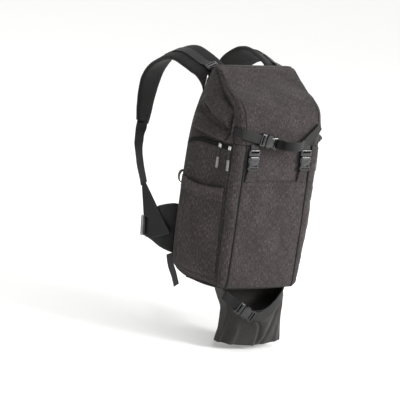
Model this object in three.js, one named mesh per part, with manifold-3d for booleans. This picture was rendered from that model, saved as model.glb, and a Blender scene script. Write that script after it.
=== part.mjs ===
// A camera backpack in its worn form: a padded, hollow main compartment with a sloping lid, side doors and
// stretch side pockets, a front slip pocket, a webbing strap and a foot pouch for long gear carried on the
// front, padded shoulder straps, and a padded hip belt that goes right round. Millimetres, +Z up. The harness
// is on the +Y side and the outer face at -Y. The origin is midway between the shoulder straps, where they
// rest.
import * as THREE from "three";
import { mergeVertices } from "three/addons/utils/BufferGeometryUtils.js";
import Module from "manifold-3d";

const wasm = await Module();
wasm.setup();

// Overall sizes of the pack itself, measured from its own base and back panel
const packHeight = 480;
const backHalfWidth = 148; // widest, low on the back panel
const frontHalfWidth = 108; // at the seam between side and corner strip
const packDepth = 150;
const wall = 6; // padded wall of the main compartment
const seamGap = 0.3; // clearance between sewn pieces that lie on each other

// Where the shoulder straps rest, from the pack's base and back panel
const shoulderForward = 115;
const shoulderUp = packHeight - 5;

// Cloth and webbing
const lidThickness = 4;
const panelThickness = 3;
const pocketThickness = 4;
const clothThickness = 2;
const webbingThickness = 1.6;
const webbingWidth = 20;
const beltWidth = 38;

// Heights on the pack, from its base
const lidEdgeHeight = 334;
const frontPocketHeight = 252;
const zipHeight = 321;
const sidePocketHeight = 232;

// Horizontal sections of the main form, as shares: up of packHeight, back of backHalfWidth, front of
// frontHalfWidth, rear and fore of packDepth measured from the back panel, strip of the corner strip's width.
// lean is how much a wall's thickness shows in a level cut, 1 where the front is upright.
const cornerStripWidth = 27;
const SECTIONS = [
  { up: 0.0, back: 0.74, front: 0.852, rear: 0.3, fore: 0.87, strip: 0.8, lean: 1 },
  { up: 0.017, back: 0.86, front: 0.916, rear: 0.12, fore: 0.95, strip: 0.9, lean: 1 },
  { up: 0.05, back: 0.945, front: 0.942, rear: 0.02, fore: 0.985, strip: 1, lean: 1 },
  { up: 0.11, back: 0.985, front: 0.958, rear: 0, fore: 0.99, strip: 1, lean: 1 },
  { up: 0.31, back: 1.0, front: 0.98, rear: 0, fore: 1, strip: 1, lean: 1 },
  { up: 0.5, back: 0.995, front: 1.0, rear: 0, fore: 1, strip: 1, lean: 1 },
  { up: 0.64, back: 0.98, front: 1.0, rear: 0, fore: 1, strip: 0.95, lean: 1 },
  { up: 0.685, back: 0.968, front: 1.0, rear: 0, fore: 1, strip: 0.92, lean: 1 },
  { up: 0.715, back: 0.958, front: 0.99, rear: 0, fore: 1, strip: 0.88, lean: 1 },
  { up: 0.745, back: 0.945, front: 0.974, rear: 0, fore: 1, strip: 0.8, lean: 1 },
  { up: 0.785, back: 0.92, front: 0.958, rear: 0, fore: 0.995, strip: 0.7, lean: 1 },
  { up: 0.82, back: 0.89, front: 0.958, rear: 0, fore: 0.96, strip: 0.6, lean: 1.3 },
  { up: 0.85, back: 0.865, front: 0.955, rear: 0, fore: 0.9, strip: 0.5, lean: 1.6 },
  { up: 0.885, back: 0.825, front: 0.937, rear: 0, fore: 0.74, strip: 0.42, lean: 1.8 },
  { up: 0.92, back: 0.785, front: 0.937, rear: 0, fore: 0.49, strip: 0.35, lean: 1.8 },
  { up: 0.965, back: 0.71, front: 0.916, rear: 0, fore: 0.235, strip: 0.25, lean: 1.7 },
  { up: 0.998, back: 0.65, front: 0.884, rear: 0.01, fore: 0.1, strip: 0.15, lean: 1.5 },
];
const INNER_TOP_SHARE = 0.955; // the compartment's inside ends below this height

const backCornerRadius = 20;
const cornerStripDepth = 17; // how far back the corner strip reaches round the front corner
const sideBulge = 4;
const frontBulge = 4;
const ARC_STEPS = 3;
const SIDE_STEPS = 4;
const FRONT_STEPS = 4;

// The slack cloth above a side zip hangs in one long fold, from the back edge forwards and down: rear and fore
// are its heights at its two ends, as shares of packHeight, and spread is half its breadth
const SIDE_FOLD = { rear: 0.785, fore: 0.715, swell: 5, spread: 0.022 };
function sideFold(t, z) {
  const line = (SIDE_FOLD.rear + (SIDE_FOLD.fore - SIDE_FOLD.rear) * t) * packHeight;
  const off = (z - line) / (SIDE_FOLD.spread * packHeight);
  return SIDE_FOLD.swell * Math.exp(-off * off) * Math.sin(Math.PI * t) ** 0.5;
}

// A point on the straight line between two points, pushed out sideways by a bulge that is 0 at both ends
function bulged(a, b, t, bulge, outX, outY) {
  const push = bulge * Math.sin(Math.PI * t);
  return [a[0] + (b[0] - a[0]) * t + outX * push, a[1] + (b[1] - a[1]) * t + outY * push];
}

// The sizes in mm of a section, grown outwards by grow
function sectionSizes(row, grow) {
  return {
    z: row.up * packHeight,
    back: row.back * backHalfWidth + grow,
    front: row.front * frontHalfWidth + grow,
    rear: -row.rear * packDepth + grow,
    fore: -row.fore * packDepth - grow * row.lean,
    strip: row.strip * cornerStripWidth,
  };
}

// One half of a level section, from the middle of the back round to the middle of the front, on the -X side
function halfSection(row, grow) {
  const s = sectionSizes(row, grow);
  const depth = s.rear - s.fore;
  const radius = Math.min(backCornerRadius, depth * 0.3);
  const reach = Math.min(cornerStripDepth * row.strip, depth * 0.3);
  const backEnd = [-(s.back - radius), s.rear];
  const sideStart = [-s.back, s.rear - radius];
  const sideEnd = [-s.front, s.fore + reach];
  const weltEnd = [-(s.front - s.strip), s.fore];
  const points = [[0, s.rear]];
  const backCorner = [-s.back, s.rear];
  const frontCorner = [-s.front, s.fore];
  for (let i = 0; i <= ARC_STEPS; i++) points.push(bend(backEnd, backCorner, sideStart, i / ARC_STEPS));
  for (let i = 1; i < SIDE_STEPS; i++) {
    const t = i / SIDE_STEPS;
    const [x, y] = bulged(sideStart, sideEnd, t, sideBulge, -1, 0);
    points.push([x - sideFold(t, s.z), y]);
  }
  for (let i = 0; i <= ARC_STEPS; i++) points.push(bend(sideEnd, frontCorner, weltEnd, i / ARC_STEPS));
  for (let i = 1; i <= FRONT_STEPS / 2; i++) {
    const mirrorEnd = [-weltEnd[0], weltEnd[1]];
    points.push(bulged(weltEnd, mirrorEnd, i / FRONT_STEPS, frontBulge, 0, -1));
  }
  return points;
}

// A round corner from a to c about the square corner b
function bend(a, b, c, t) {
  const k = 1 - t;
  return [0, 1].map((i) => k * k * a[i] + 2 * k * t * b[i] + t * t * c[i]);
}

function sectionRing(row, grow, z) {
  const half = halfSection(row, grow);
  const other = half.slice(1, -1).reverse().map(([x, y]) => [-x, y]);
  return [...half, ...other].map(([x, y]) => new THREE.Vector3(x, y, z));
}

// A closed solid through rings of as many points each, first to last, with a fan over each end. The second
// half of each ring is split the other way, so that a form with two like halves stays the same when mirrored.
function loft(rings) {
  const count = rings[0].length;
  const positions = rings.flat().flatMap((p) => [p.x, p.y, p.z]);
  const index = [];
  rings.slice(1).forEach((_, i) => {
    for (let j = 0; j < count; j++) {
      const a = i * count + j;
      const b = i * count + ((j + 1) % count);
      if (j < count / 2) index.push(a, b, b + count, a, b + count, a + count);
      else index.push(a, b, a + count, b, b + count, a + count);
    }
  });
  const cap = (ring, first, flip) => {
    const middle = ring.reduce((sum, p) => sum.add(p), new THREE.Vector3()).divideScalar(count);
    const centre = positions.length / 3;
    positions.push(middle.x, middle.y, middle.z);
    for (let j = 0; j < count; j++) {
      const a = first + j;
      const b = first + ((j + 1) % count);
      index.push(centre, flip ? b : a, flip ? a : b);
    }
  };
  cap(rings[0], 0, true);
  cap(rings[rings.length - 1], (rings.length - 1) * count, false);
  return indexed(positions, index);
}

function indexed(positions, index) {
  const geometry = new THREE.BufferGeometry();
  geometry.setAttribute("position", new THREE.Float32BufferAttribute(positions, 3));
  geometry.setIndex(index);
  return geometry;
}

// Geometry to a manifold-3d solid and back
function solid(geometry) {
  const bare = geometry.clone();
  bare.deleteAttribute("normal");
  bare.deleteAttribute("uv");
  const merged = mergeVertices(bare, 1e-4);
  const mesh = new wasm.Mesh({
    numProp: 3,
    vertProperties: new Float32Array(merged.attributes.position.array),
    triVerts: new Uint32Array(merged.index.array),
  });
  const made = new wasm.Manifold(mesh);
  if (made.volume() < 0) throw new Error("a form is inside out");
  return made;
}

function geometryOf(made) {
  const mesh = made.getMesh();
  return indexed(Array.from(mesh.vertProperties), Array.from(mesh.triVerts));
}

function mirrored(geometry) {
  const copy = geometry.clone().applyMatrix4(new THREE.Matrix4().makeScale(-1, 1, 1));
  const turned = Array.from(copy.index.array);
  for (let i = 0; i < turned.length; i += 3) [turned[i + 1], turned[i + 2]] = [turned[i + 2], turned[i + 1]];
  copy.setIndex(turned);
  return copy;
}

// The pack's main form, grown by grow
function packForm(grow, rows = SECTIONS) {
  const last = rows.length - 1;
  return solid(
    loft(
      rows.map((row, i) => {
        const lift = i === 0 ? -grow : i === last ? grow : 0;
        return sectionRing(row, grow, row.up * packHeight + lift);
      }),
    ),
  );
}

// A layer of cloth lying on the pack
function packLayer(thickness, under = seamGap) {
  return packForm(under + thickness).subtract(packForm(under));
}

// A prism across the pack, from an outline in Y and Z, between two X
function sidePrism(outline, x0, x1) {
  const shape = new THREE.Shape(outline.map(([y, z]) => new THREE.Vector2(y, z)));
  const geometry = new THREE.ExtrudeGeometry(shape, { depth: x1 - x0, bevelEnabled: false });
  const toRow = new THREE.Matrix4().makeBasis(
    new THREE.Vector3(0, 1, 0),
    new THREE.Vector3(0, 0, 1),
    new THREE.Vector3(1, 0, 0),
  );
  geometry.applyMatrix4(toRow).translate(x0, 0, 0);
  return solid(geometry);
}

// A block between two corners
function block(low, high) {
  const size = high.map((h, i) => h - low[i]);
  const middle = high.map((h, i) => (h + low[i]) / 2);
  return solid(new THREE.BoxGeometry(...size).translate(...middle));
}

// How far out the pack's side lies at a place y, z, grown by grow
function sideOut(y, z, grow) {
  const share = THREE.MathUtils.clamp(z / packHeight, 0, SECTIONS[SECTIONS.length - 1].up);
  const i = Math.max(1, SECTIONS.findIndex((row) => row.up >= share));
  const [low, high] = [SECTIONS[i - 1], SECTIONS[i]].map((row) => sectionSizes(row, grow));
  const t = (share - SECTIONS[i - 1].up) / (SECTIONS[i].up - SECTIONS[i - 1].up);
  const mix = (name) => low[name] + (high[name] - low[name]) * t;
  const start = mix("rear") - backCornerRadius;
  const end = mix("fore") + cornerStripDepth;
  const along = THREE.MathUtils.clamp((start - y) / (start - end), 0, 1);
  return mix("back") + (mix("front") - mix("back")) * along + sideBulge * Math.sin(Math.PI * along);
}

// A thin sheet from two grids of points, closed round its border; at(u, v, side) gives side 0 out and 1 in
function sheet(columns, rows, at) {
  const positions = [];
  const index = [];
  const width = columns + 1;
  const layer = width * (rows + 1);
  for (const side of [0, 1])
    for (let j = 0; j <= rows; j++)
      for (let i = 0; i <= columns; i++) positions.push(...at(i / columns, j / rows, side));
  const quad = (a, b, c, d) => index.push(a, b, c, a, c, d);
  for (let j = 0; j < rows; j++)
    for (let i = 0; i < columns; i++) {
      const a = j * width + i;
      quad(a, a + 1, a + 1 + width, a + width);
      quad(layer + a, layer + a + width, layer + a + 1 + width, layer + a + 1);
    }
  const edge = (a, b) => quad(a, layer + a, layer + b, b);
  for (let i = 0; i < columns; i++) {
    edge(i, i + 1);
    edge(rows * width + i + 1, rows * width + i);
  }
  for (let j = 0; j < rows; j++) {
    edge((j + 1) * width, j * width);
    edge(j * width + columns, (j + 1) * width + columns);
  }
  return indexed(positions, index);
}

// A band swept along a route. Each stop has a place, the way its width runs, a width and a thickness.
const BAND_STEPS = 3; // steps between two stops
function band(stops, { steps = BAND_STEPS, soft = 0 } = {}) {
  const places = stops.map((s) => new THREE.Vector3(...s.at));
  const curve = new THREE.CatmullRomCurve3(places, false, "centripetal");
  const count = (stops.length - 1) * steps;
  const rings = [];
  for (let i = 0; i <= count; i++) {
    const t = i / count;
    const along = t * (stops.length - 1);
    const k = Math.min(Math.floor(along), stops.length - 2);
    const mix = (get) => get(stops[k]) + (get(stops[k + 1]) - get(stops[k])) * (along - k);
    const wide = new THREE.Vector3(...[0, 1, 2].map((n) => mix((s) => s.wide[n])));
    const forward = curve.getTangent(t);
    const out = new THREE.Vector3().crossVectors(forward, wide).normalize();
    wide.crossVectors(out, forward).normalize();
    rings.push(bandRing(curve.getPoint(t), wide, out, mix((s) => s.width), mix((s) => s.thick), soft));
  }
  return loft(rings);
}

// The outline of a band: a plain rectangle for webbing, or with its edges drawn in by soft for a padded strap
function bandRing(middle, wide, out, width, thick, soft) {
  const inner = 0.5 - soft;
  const right = soft ? [[0.5, -0.2], [0.5, 0.2], [inner, 0.5]] : [[0.5, -0.5], [0.5, 0.5]];
  const left = soft ? [[-inner, 0.5], [-0.5, 0.2], [-0.5, -0.2], [-inner, -0.5]] : [[-0.5, 0.5], [-0.5, -0.5]];
  if (soft) left.push([inner, -0.5]);
  const corners = [...right, ...left];
  return corners.map(([a, b]) =>
    middle.clone().addScaledVector(wide, a * width).addScaledVector(out, b * thick),
  );
}

const group = new THREE.Group();
const pack = new THREE.Group();
pack.position.set(0, -shoulderForward, -shoulderUp);
group.add(pack);

const finishes = {
  heather: { color: 0x3b3735, roughness: 0.95, metalness: 0 },
  black_cloth: { color: 0x242221, roughness: 0.9, metalness: 0 },
  webbing: { color: 0x2b2928, roughness: 0.85, metalness: 0 },
  buckle: { color: 0x3a3a3c, roughness: 0.35, metalness: 0 },
  zip: { color: 0x1c1b1b, roughness: 0.6, metalness: 0 },
  metal: { color: 0xb9b4b0, roughness: 0.3, metalness: 1 },
  pull: { color: 0x2c2c2e, roughness: 0.6, metalness: 0 },
};

function add(name, shape, finish) {
  const geometry = shape.isBufferGeometry ? shape : geometryOf(shape);
  const mesh = new THREE.Mesh(geometry, new THREE.MeshStandardMaterial(finishes[finish]));
  mesh.name = name;
  pack.add(mesh);
  return mesh;
}

// The same piece on both sides, made for the left, at -X
function addPair(name, shape, finish) {
  const geometry = shape.isBufferGeometry ? shape : geometryOf(shape);
  add(`${name}_left`, geometry, finish);
  add(`${name}_right`, mirrored(geometry), finish);
}

// Main compartment: a padded tub, open at the top under the lid
const lidHalfWidth = 98;
const openingMargin = 8; // rim of the compartment under the lid's edge
const openingHalfWidth = lidHalfWidth - openingMargin;
const openingSill = lidEdgeHeight + 24; // top of the front wall, behind the lid's flap
const openingBackHeight = packHeight - 22; // the opening's upper end, at the back
function mainShell() {
  const inner = packForm(-wall, SECTIONS.filter((row) => row.up < INNER_TOP_SHARE));
  const roofCut = sidePrism(
    [
      [-packDepth - 2 * wall, openingSill],
      [-packDepth + 4 * wall, openingSill],
      [-2.5 * wall, openingBackHeight],
      [-2.5 * wall, packHeight],
      [-packDepth - 2 * wall, packHeight],
    ],
    -openingHalfWidth,
    openingHalfWidth,
  );
  return packForm(0).subtract(inner).subtract(roofCut);
}

// Lid: one panel from the ridge down the slope and over the front. LID_SEAM is its side seam, from the flap's
// corner up to the ridge, as shares: fore of packDepth in front of the back panel, up of packHeight.
const LID_SEAM = [
  { fore: 0.887, up: 0.7 },
  { fore: 0.867, up: 0.755 },
  { fore: 0.833, up: 0.798 },
  { fore: 0.76, up: 0.848 },
  { fore: 0.633, up: 0.875 },
  { fore: 0.473, up: 0.902 },
  { fore: 0.267, up: 0.946 },
  { fore: 0.1, up: 0.985 },
];
function lid() {
  const beyond = 4 * lidThickness;
  const seam = LID_SEAM.map((row) => [-row.fore * packDepth, row.up * packHeight]);
  const outline = [
    [-packDepth - beyond, lidEdgeHeight],
    [seam[0][0], lidEdgeHeight],
    ...seam,
    [seam[seam.length - 1][0], packHeight + beyond],
    [-packDepth - beyond, packHeight + beyond],
  ];
  return packLayer(lidThickness).intersect(sidePrism(outline, -backHalfWidth, backHalfWidth));
}

// Corner strips: the sewn bands that turn from the side panels to the front
const weltHalfWidth = 86; // half the width of the front panel between its piped seams
const sideSeam = packDepth - cornerStripDepth; // from the back panel to the side panel's front seam
const stripTop = lidEdgeHeight - 3;
const stripFoot = 8;
function cornerStrip() {
  const far = 2 * frontHalfWidth;
  const region = block(
    [-far, -2 * packDepth, stripFoot],
    [-weltHalfWidth - seamGap, -sideSeam - seamGap, stripTop],
  );
  return packLayer(panelThickness).intersect(region);
}

// Front slip pocket between the piped seams
function frontPocket() {
  const region = block(
    [-weltHalfWidth + seamGap, -2 * packDepth, stripFoot],
    [weltHalfWidth - seamGap, -sideSeam, frontPocketHeight],
  );
  return packLayer(pocketThickness).intersect(region);
}

// Side doors: a panel under an arched zip
const doorRear = 14; // behind the door's rear edge, from the back panel
const zipCrown = 2; // how much higher the zip is at its crown than at its front end
const zipCrownShare = 0.6; // where the crown is, from the front
const zipWidth = 6;
const doorFoot = 26;
const sideMiddle = 60; // only what is further out than this is on the side
const DOOR_STEPS = 10;
function zipLine(share) {
  const y = -sideSeam + (sideSeam - doorRear) * share;
  const fall = share > zipCrownShare ? (share - zipCrownShare) / (1 - zipCrownShare) : 0;
  const rise = Math.sin((Math.PI / 2) * Math.min(1, share / zipCrownShare));
  return [y, zipHeight + zipCrown * rise - 16 * fall ** 2.5];
}
function doorOutline(drop) {
  const arch = Array.from({ length: DOOR_STEPS + 1 }, (_, i) => {
    const [y, z] = zipLine(i / DOOR_STEPS);
    return [y, z - drop];
  });
  return [[-sideSeam, stripFoot], [-doorRear, doorFoot], ...arch.reverse()];
}
function sideDoor() {
  const region = sidePrism(doorOutline(zipWidth / 2 + seamGap), -2 * backHalfWidth, -sideMiddle);
  return packLayer(panelThickness).intersect(region);
}

// The zip that closes a side door
function sideZip() {
  const arch = doorOutline(-zipWidth / 2).slice(2);
  const under = doorOutline(zipWidth / 2).slice(2).reverse();
  return packLayer(clothThickness).intersect(sidePrism([...arch, ...under], -2 * backHalfWidth, -sideMiddle));
}

// Stretch side pockets: a cloth sheet sewn to the door down both sides and along the foot, slack at its mouth
const sidePocketSlope = 2; // the mouth is this much higher at the rear
const sidePocketSlack = 14; // gap at the middle of the mouth
const sidePocketFoot = 32;
const sidePocketRear = 18;
const SIDE_POCKET_GRID = [8, 8];
function sidePocket() {
  const base = seamGap + panelThickness + seamGap;
  const cloth = sheet(...SIDE_POCKET_GRID, (u, v, side) => {
    const y = -sidePocketRear - (sideSeam - 2 - sidePocketRear) * u;
    const foot = sidePocketFoot - 6 * u;
    const mouth = sidePocketHeight + sidePocketSlope * (1 - u) - 6 * Math.sin(Math.PI * u);
    const z = foot + (mouth - foot) * v;
    const slack = sidePocketSlack * Math.sin(Math.PI * u) ** 0.8 * Math.min(1, 0.35 + v) * (v > 0 ? 1 : 0);
    return [-sideOut(y, z, base + slack + (side ? 0 : clothThickness)), y, z];
  });
  return solid(cloth).subtract(packForm(base));
}

// A piece made flat, put where it lies: x of its own along forward, y across, z outwards
function placed(shape, { at, forward, out }) {
  const z = new THREE.Vector3(...out).normalize();
  const x = new THREE.Vector3(...forward);
  x.addScaledVector(z, -x.dot(z)).normalize();
  const y = new THREE.Vector3().crossVectors(z, x);
  const matrix = new THREE.Matrix4().makeBasis(x, y, z).setPosition(...at);
  return solid(shape.clone().applyMatrix4(matrix));
}

// A plate with rounded corners and any slots through it, lying from z 0 up to its thickness
const CORNER_STEPS = 2;
function plate(length, width, thickness, radius, slots = []) {
  const shape = roundedPath(new THREE.Shape(), 0, 0, length, width, radius);
  const settings = { depth: thickness, bevelEnabled: false, curveSegments: CORNER_STEPS };
  const whole = solid(new THREE.ExtrudeGeometry(shape, settings));
  const cut = (rest, slot) => {
    const [a, b] = [slot.length / 2, slot.width / 2];
    return rest.subtract(block([slot.at - a, -b, -1], [slot.at + a, b, thickness + 1]));
  };
  return geometryOf(slots.reduce(cut, whole));
}

function roundedPath(path, x, y, length, width, r) {
  const [a, b] = [length / 2, width / 2];
  path.moveTo(x - a + r, y - b);
  path.lineTo(x + a - r, y - b).absarc(x + a - r, y - b + r, r, -Math.PI / 2, 0);
  path.lineTo(x + a, y + b - r).absarc(x + a - r, y + b - r, r, 0, Math.PI / 2);
  path.lineTo(x - a + r, y + b).absarc(x - a + r, y + b - r, r, Math.PI / 2, Math.PI);
  path.lineTo(x - a, y - b + r).absarc(x - a + r, y - b + r, r, Math.PI, 1.5 * Math.PI);
  return path;
}

// Side-release buckle for webbing of a width: a clip with a ladder bar for the webbing, and the socket that it
// is pushed into. Both lie flat, the clip's webbing end towards -x and the socket's towards +x.
const buckleThickness = 9;
const clipThickness = buckleThickness - 2;
const buckleMargin = 4.2; // plastic beside the webbing, each side
const clipLength = 14;
const socketLength = 32;
function clipShape(width) {
  const slot = { at: -clipLength / 8, length: 4, width: width + 1 };
  return plate(clipLength, width + 2 * buckleMargin, clipThickness, 2, [slot]);
}
function socketShape(width) {
  const slot = { at: socketLength / 2 - 5, length: 4, width: width + 1 };
  return plate(socketLength, width + 2 * buckleMargin, buckleThickness, 4, [slot]);
}

// Clip and socket of a fastened buckle whose middle, where they meet, is at a seat
function buckle(seat, width) {
  const forward = new THREE.Vector3(...seat.forward).normalize();
  const at = new THREE.Vector3(...seat.at);
  const shift = (length) => at.clone().addScaledVector(forward, length).toArray();
  return {
    clip: placed(clipShape(width), { ...seat, at: shift(-clipLength / 2 - seamGap / 2) }),
    socket: placed(socketShape(width), { ...seat, at: shift(socketLength / 2 + seamGap / 2) }),
  };
}

// Front buckles: webbing from under the lid, and a sewn tab below
const buckleAcross = 68; // from the middle of the pack
const buckleMeets = 310; // height where clip and socket meet
const frontSkin = packDepth + frontBulge; // the front face at its fullest
const webbingSeat = frontSkin + seamGap; // webbing lies just off it
const lidStrapTop = lidEdgeHeight - seamGap;
const lidStrapFoot = buckleMeets + clipLength + 2 * seamGap;
const tabTop = buckleMeets - socketLength - 2 * seamGap;
const tabFoot = frontPocketHeight + seamGap;
const tabWidth = 24;
function frontBuckle() {
  const at = [-buckleAcross, -webbingSeat, buckleMeets];
  return buckle({ at, forward: [0, 0, -1], out: [0, -1, 0] }, webbingWidth);
}
function frontStrip(width, thickness, foot, top) {
  const strip = plate(top - foot, width, thickness, 1);
  const at = [-buckleAcross, -webbingSeat, (foot + top) / 2];
  return placed(strip, { at, forward: [0, 0, 1], out: [0, -1, 0] });
}

// Front strap: from the lid's left seam to a buckle, then out round a space for long gear, and back to the
// lid's right seam. Its routes are chosen by hand: across, fore in front of the back panel, and up, in mm.
const lidSkin = frontSkin + seamGap + lidThickness; // the lid's flap at its fullest
const carryRadius = 22;
const carryAcross = 11; // middle of the space, to the right
const carryFore = lidSkin + carryRadius + 1;
const strapLift = 1.2; // middle of a strap above what it lies on
const endGap = 0.8; // between a strap's slanted end and its buckle
const loopRadius = carryRadius + strapLift;
const upperStrapHeight = 340; // round the space
const upperBuckleAcross = -46;
const UP = [0, 0, 1];
function stops(rows, width, thick) {
  return rows.map(([x, y, z]) => ({ at: [x, y, z], wide: UP, width, thick }));
}
const upperSlope = 0.23; // fall of the strap's left part for each mm across
function upperHeight(across) {
  return upperStrapHeight - (across + carryRadius) * upperSlope;
}
function upperStrapLeft() {
  const end = upperBuckleAcross - clipLength - endGap;
  const lift = lidSkin + strapLift;
  const corner = frontHalfWidth + seamGap + lidThickness;
  const rows = [
    [-corner - strapLift, -sideSeam - seamGap, upperHeight(-corner)],
    [-corner + 3, -packDepth - lidThickness + 2, upperHeight(-corner)],
    [-weltHalfWidth - 8, -lift + 1, upperHeight(-weltHalfWidth)],
    [end, -lift, upperHeight(end)],
  ];
  return clearOfLid(band(stops(rows, webbingWidth, webbingThickness)));
}
// A strap that lies on the lid, kept off it
function clearOfLid(strap) {
  return solid(strap).subtract(packForm(seamGap + lidThickness + seamGap));
}
function upperBuckle() {
  const at = [upperBuckleAcross, -lidSkin - seamGap, upperHeight(upperBuckleAcross)];
  return buckle({ at, forward: [1, 0, -upperSlope], out: [0, -1, 0] }, webbingWidth);
}
function upperStrapRight() {
  const around = [170, 205, 237, 270, 303, 335].map((degrees) => {
    const a = THREE.MathUtils.degToRad(degrees);
    const rise = (degrees - 170) * 0.02;
    const x = carryAcross + loopRadius * Math.cos(a);
    return [x, -carryFore + loopRadius * Math.sin(a), upperStrapHeight + rise];
  });
  const start = upperBuckleAcross + socketLength + 5 * endGap;
  const rows = [
    [start, -lidSkin - buckleThickness / 2, upperHeight(start)],
    ...around,
    [56, -lidSkin - 8, 340],
    [weltHalfWidth, -lidSkin - strapLift, 364],
    [frontHalfWidth - 10, -lidSkin + 3, 376],
  ];
  return clearOfLid(band(stops(rows, webbingWidth, webbingThickness)));
}

// Foot pouch: a cloth sack under the front of the base, its mouth open below the front strap. Levels go down
// it: down as a share of pouchDepth, and the rest in mm from the middle of the pack and from the back panel.
const pouchDepth = 126;
const pouchMouth = 0.5; // under the base
const POUCH_LEVELS = [
  { down: 0, left: 82, right: 80, side: 128, bulge: 30, back: 88, sag: 44 },
  { down: 0.2, left: 68, right: 83, side: 127, bulge: 32, back: 88, sag: 40 },
  { down: 0.45, left: 57, right: 86, side: 125, bulge: 29, back: 90, sag: 27 },
  { down: 0.72, left: 58, right: 90, side: 122, bulge: 22, back: 94, sag: 14 },
  { down: 1, left: 69, right: 96, side: 120, bulge: 10, back: 100, sag: 7 },
];
// Folds hang from the mouth: from and to are shares across the front, at the mouth and at the foot
const POUCH_FOLDS = [
  { from: 0.3, to: 0.55, deep: 6, wide: 0.07 },
  { from: 0.56, to: 0.68, deep: -5, wide: 0.06 },
  { from: 0.8, to: 0.82, deep: 5, wide: 0.05 },
];
const foldTop = 0.22; // the folds start this share of the way down
const POUCH_STEPS = 16;
const POUCH_BACK_STEPS = 5;
function pouchFold(u, v) {
  const push = (fold) => {
    const off = (u - fold.from - (fold.to - fold.from) * v) / fold.wide;
    return fold.deep * Math.exp(-off * off) * THREE.MathUtils.smoothstep(v, foldTop, 2 * foldTop);
  };
  return POUCH_FOLDS.reduce((sum, fold) => sum + push(fold), 0);
}
function pouchRing(level, inset) {
  const left = -level.left + inset;
  const right = level.right - inset;
  const foot = level.down === 1 ? inset : 0;
  const z = -pouchMouth - level.down * pouchDepth + foot;
  const points = [];
  for (let i = 0; i <= POUCH_STEPS; i++) {
    const u = i / POUCH_STEPS;
    const swell = Math.sin(Math.PI * u);
    const fore = level.side - inset + level.bulge * swell ** 0.7 + pouchFold(u, level.down);
    points.push(new THREE.Vector3(left + (right - left) * u, -fore, z - level.sag * swell ** 1.2));
  }
  for (let i = 1; i < POUCH_BACK_STEPS; i++) {
    const u = i / POUCH_BACK_STEPS;
    const x = right + (left - right) * u;
    points.push(new THREE.Vector3(x, -level.back - inset, z));
  }
  points.splice(POUCH_STEPS + 1, 0, new THREE.Vector3(right, -level.back - inset, z));
  points.push(new THREE.Vector3(left, -level.back - inset, z));
  return points;
}
function pouch() {
  const outside = [...POUCH_LEVELS].reverse().map((level) => pouchRing(level, 0));
  const inside = POUCH_LEVELS.map((level) => pouchRing(level, clothThickness));
  return solid(loft([...outside, ...inside]));
}

// Strap round the pouch's mouth, with its buckle on the left half
const rimBuckleAcross = -42;
const rimBuckleLift = 4; // the flat buckle's underside above the curved rim
const rimDrop = 11; // middle of the strap below the rim
const rimGap = 0.4; // between the straps and the buckle
const rimShare = 0.76; // how far across the strap goes for each mm of its length, beside the buckle
function rimPlace(across, lift) {
  const top = POUCH_LEVELS[0];
  const swell = Math.sin((Math.PI * (across + top.left)) / (top.left + top.right));
  return [across, -(top.side + top.bulge * swell ** 0.7 + lift), -pouchMouth - rimDrop - top.sag * swell ** 1.2];
}
function rimSeat() {
  const before = new THREE.Vector3(...rimPlace(rimBuckleAcross - clipLength, 0));
  const after = new THREE.Vector3(...rimPlace(rimBuckleAcross + socketLength * rimShare, 0));
  const forward = after.sub(before).normalize();
  const out = new THREE.Vector3().crossVectors(forward, new THREE.Vector3(...UP)).normalize();
  return { at: rimPlace(rimBuckleAcross, rimBuckleLift), forward: forward.toArray(), out: out.toArray() };
}
// The room that the whole buckle takes up, with a gap all round
function rimBuckleRoom() {
  const seat = rimSeat();
  const room = plate(
    clipLength + socketLength + seamGap + 2 * rimGap,
    webbingWidth + 2 * (buckleMargin + rimGap),
    buckleThickness + 2 * rimGap,
    1,
  );
  const at = new THREE.Vector3(...seat.at)
    .addScaledVector(new THREE.Vector3(...seat.forward), (socketLength - clipLength) / 2)
    .addScaledVector(new THREE.Vector3(...seat.out), -rimGap);
  return placed(room, { ...seat, at: at.toArray() });
}
// The strap from a corner of the pouch to the buckle, where it rises to the middle of the plastic
const RIM_STEPS = 7;
function rimStrap(corner, end) {
  const rows = Array.from({ length: RIM_STEPS }, (_, i) => {
    const share = i / (RIM_STEPS - 1);
    const rise = (rimBuckleLift + clipThickness / 2) * THREE.MathUtils.smoothstep(share, 0.5, 1);
    return rimPlace(corner + (end - corner) * share, seamGap + strapLift + rise);
  });
  if (end < corner) rows.reverse();
  const within = solid(loft([...POUCH_LEVELS].reverse().map((level) => pouchRing(level, -seamGap))));
  const strap = solid(band(stops(rows, webbingWidth, webbingThickness), { steps: 1 }));
  return strap.subtract(within).subtract(rimBuckleRoom());
}
const rimEnd = 2; // in from the pouch's corners
function rimStrapLeft() {
  return rimStrap(-POUCH_LEVELS[0].left + rimEnd, rimBuckleAcross - clipLength * rimShare);
}
function rimStrapRight() {
  return rimStrap(POUCH_LEVELS[0].right - rimEnd, rimBuckleAcross + socketLength * rimShare);
}
function rimBuckle() {
  return buckle(rimSeat(), webbingWidth);
}

// Back panel: a padded pad on the harness side, with a channel down its middle
const backPadThickness = 9;
const backPadFoot = 60;
const backPadTop = 394;
const backPadHalfWidth = 104;
const channelWidth = 34;
const channelDepth = 4;
function backPanel() {
  const pad = plate(backPadTop - backPadFoot, 2 * backPadHalfWidth, backPadThickness, 24);
  const middle = (backPadTop + backPadFoot) / 2;
  const seat = { at: [0, seamGap, middle], forward: [0, 0, 1], out: [0, 1, 0] };
  const high = backPadThickness + seamGap + 1;
  const low = high - 1 - channelDepth;
  const channel = block([-channelWidth / 2, low, backPadFoot - 1], [channelWidth / 2, high, backPadTop + 1]);
  return placed(pad, seat).subtract(channel);
}

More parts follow.
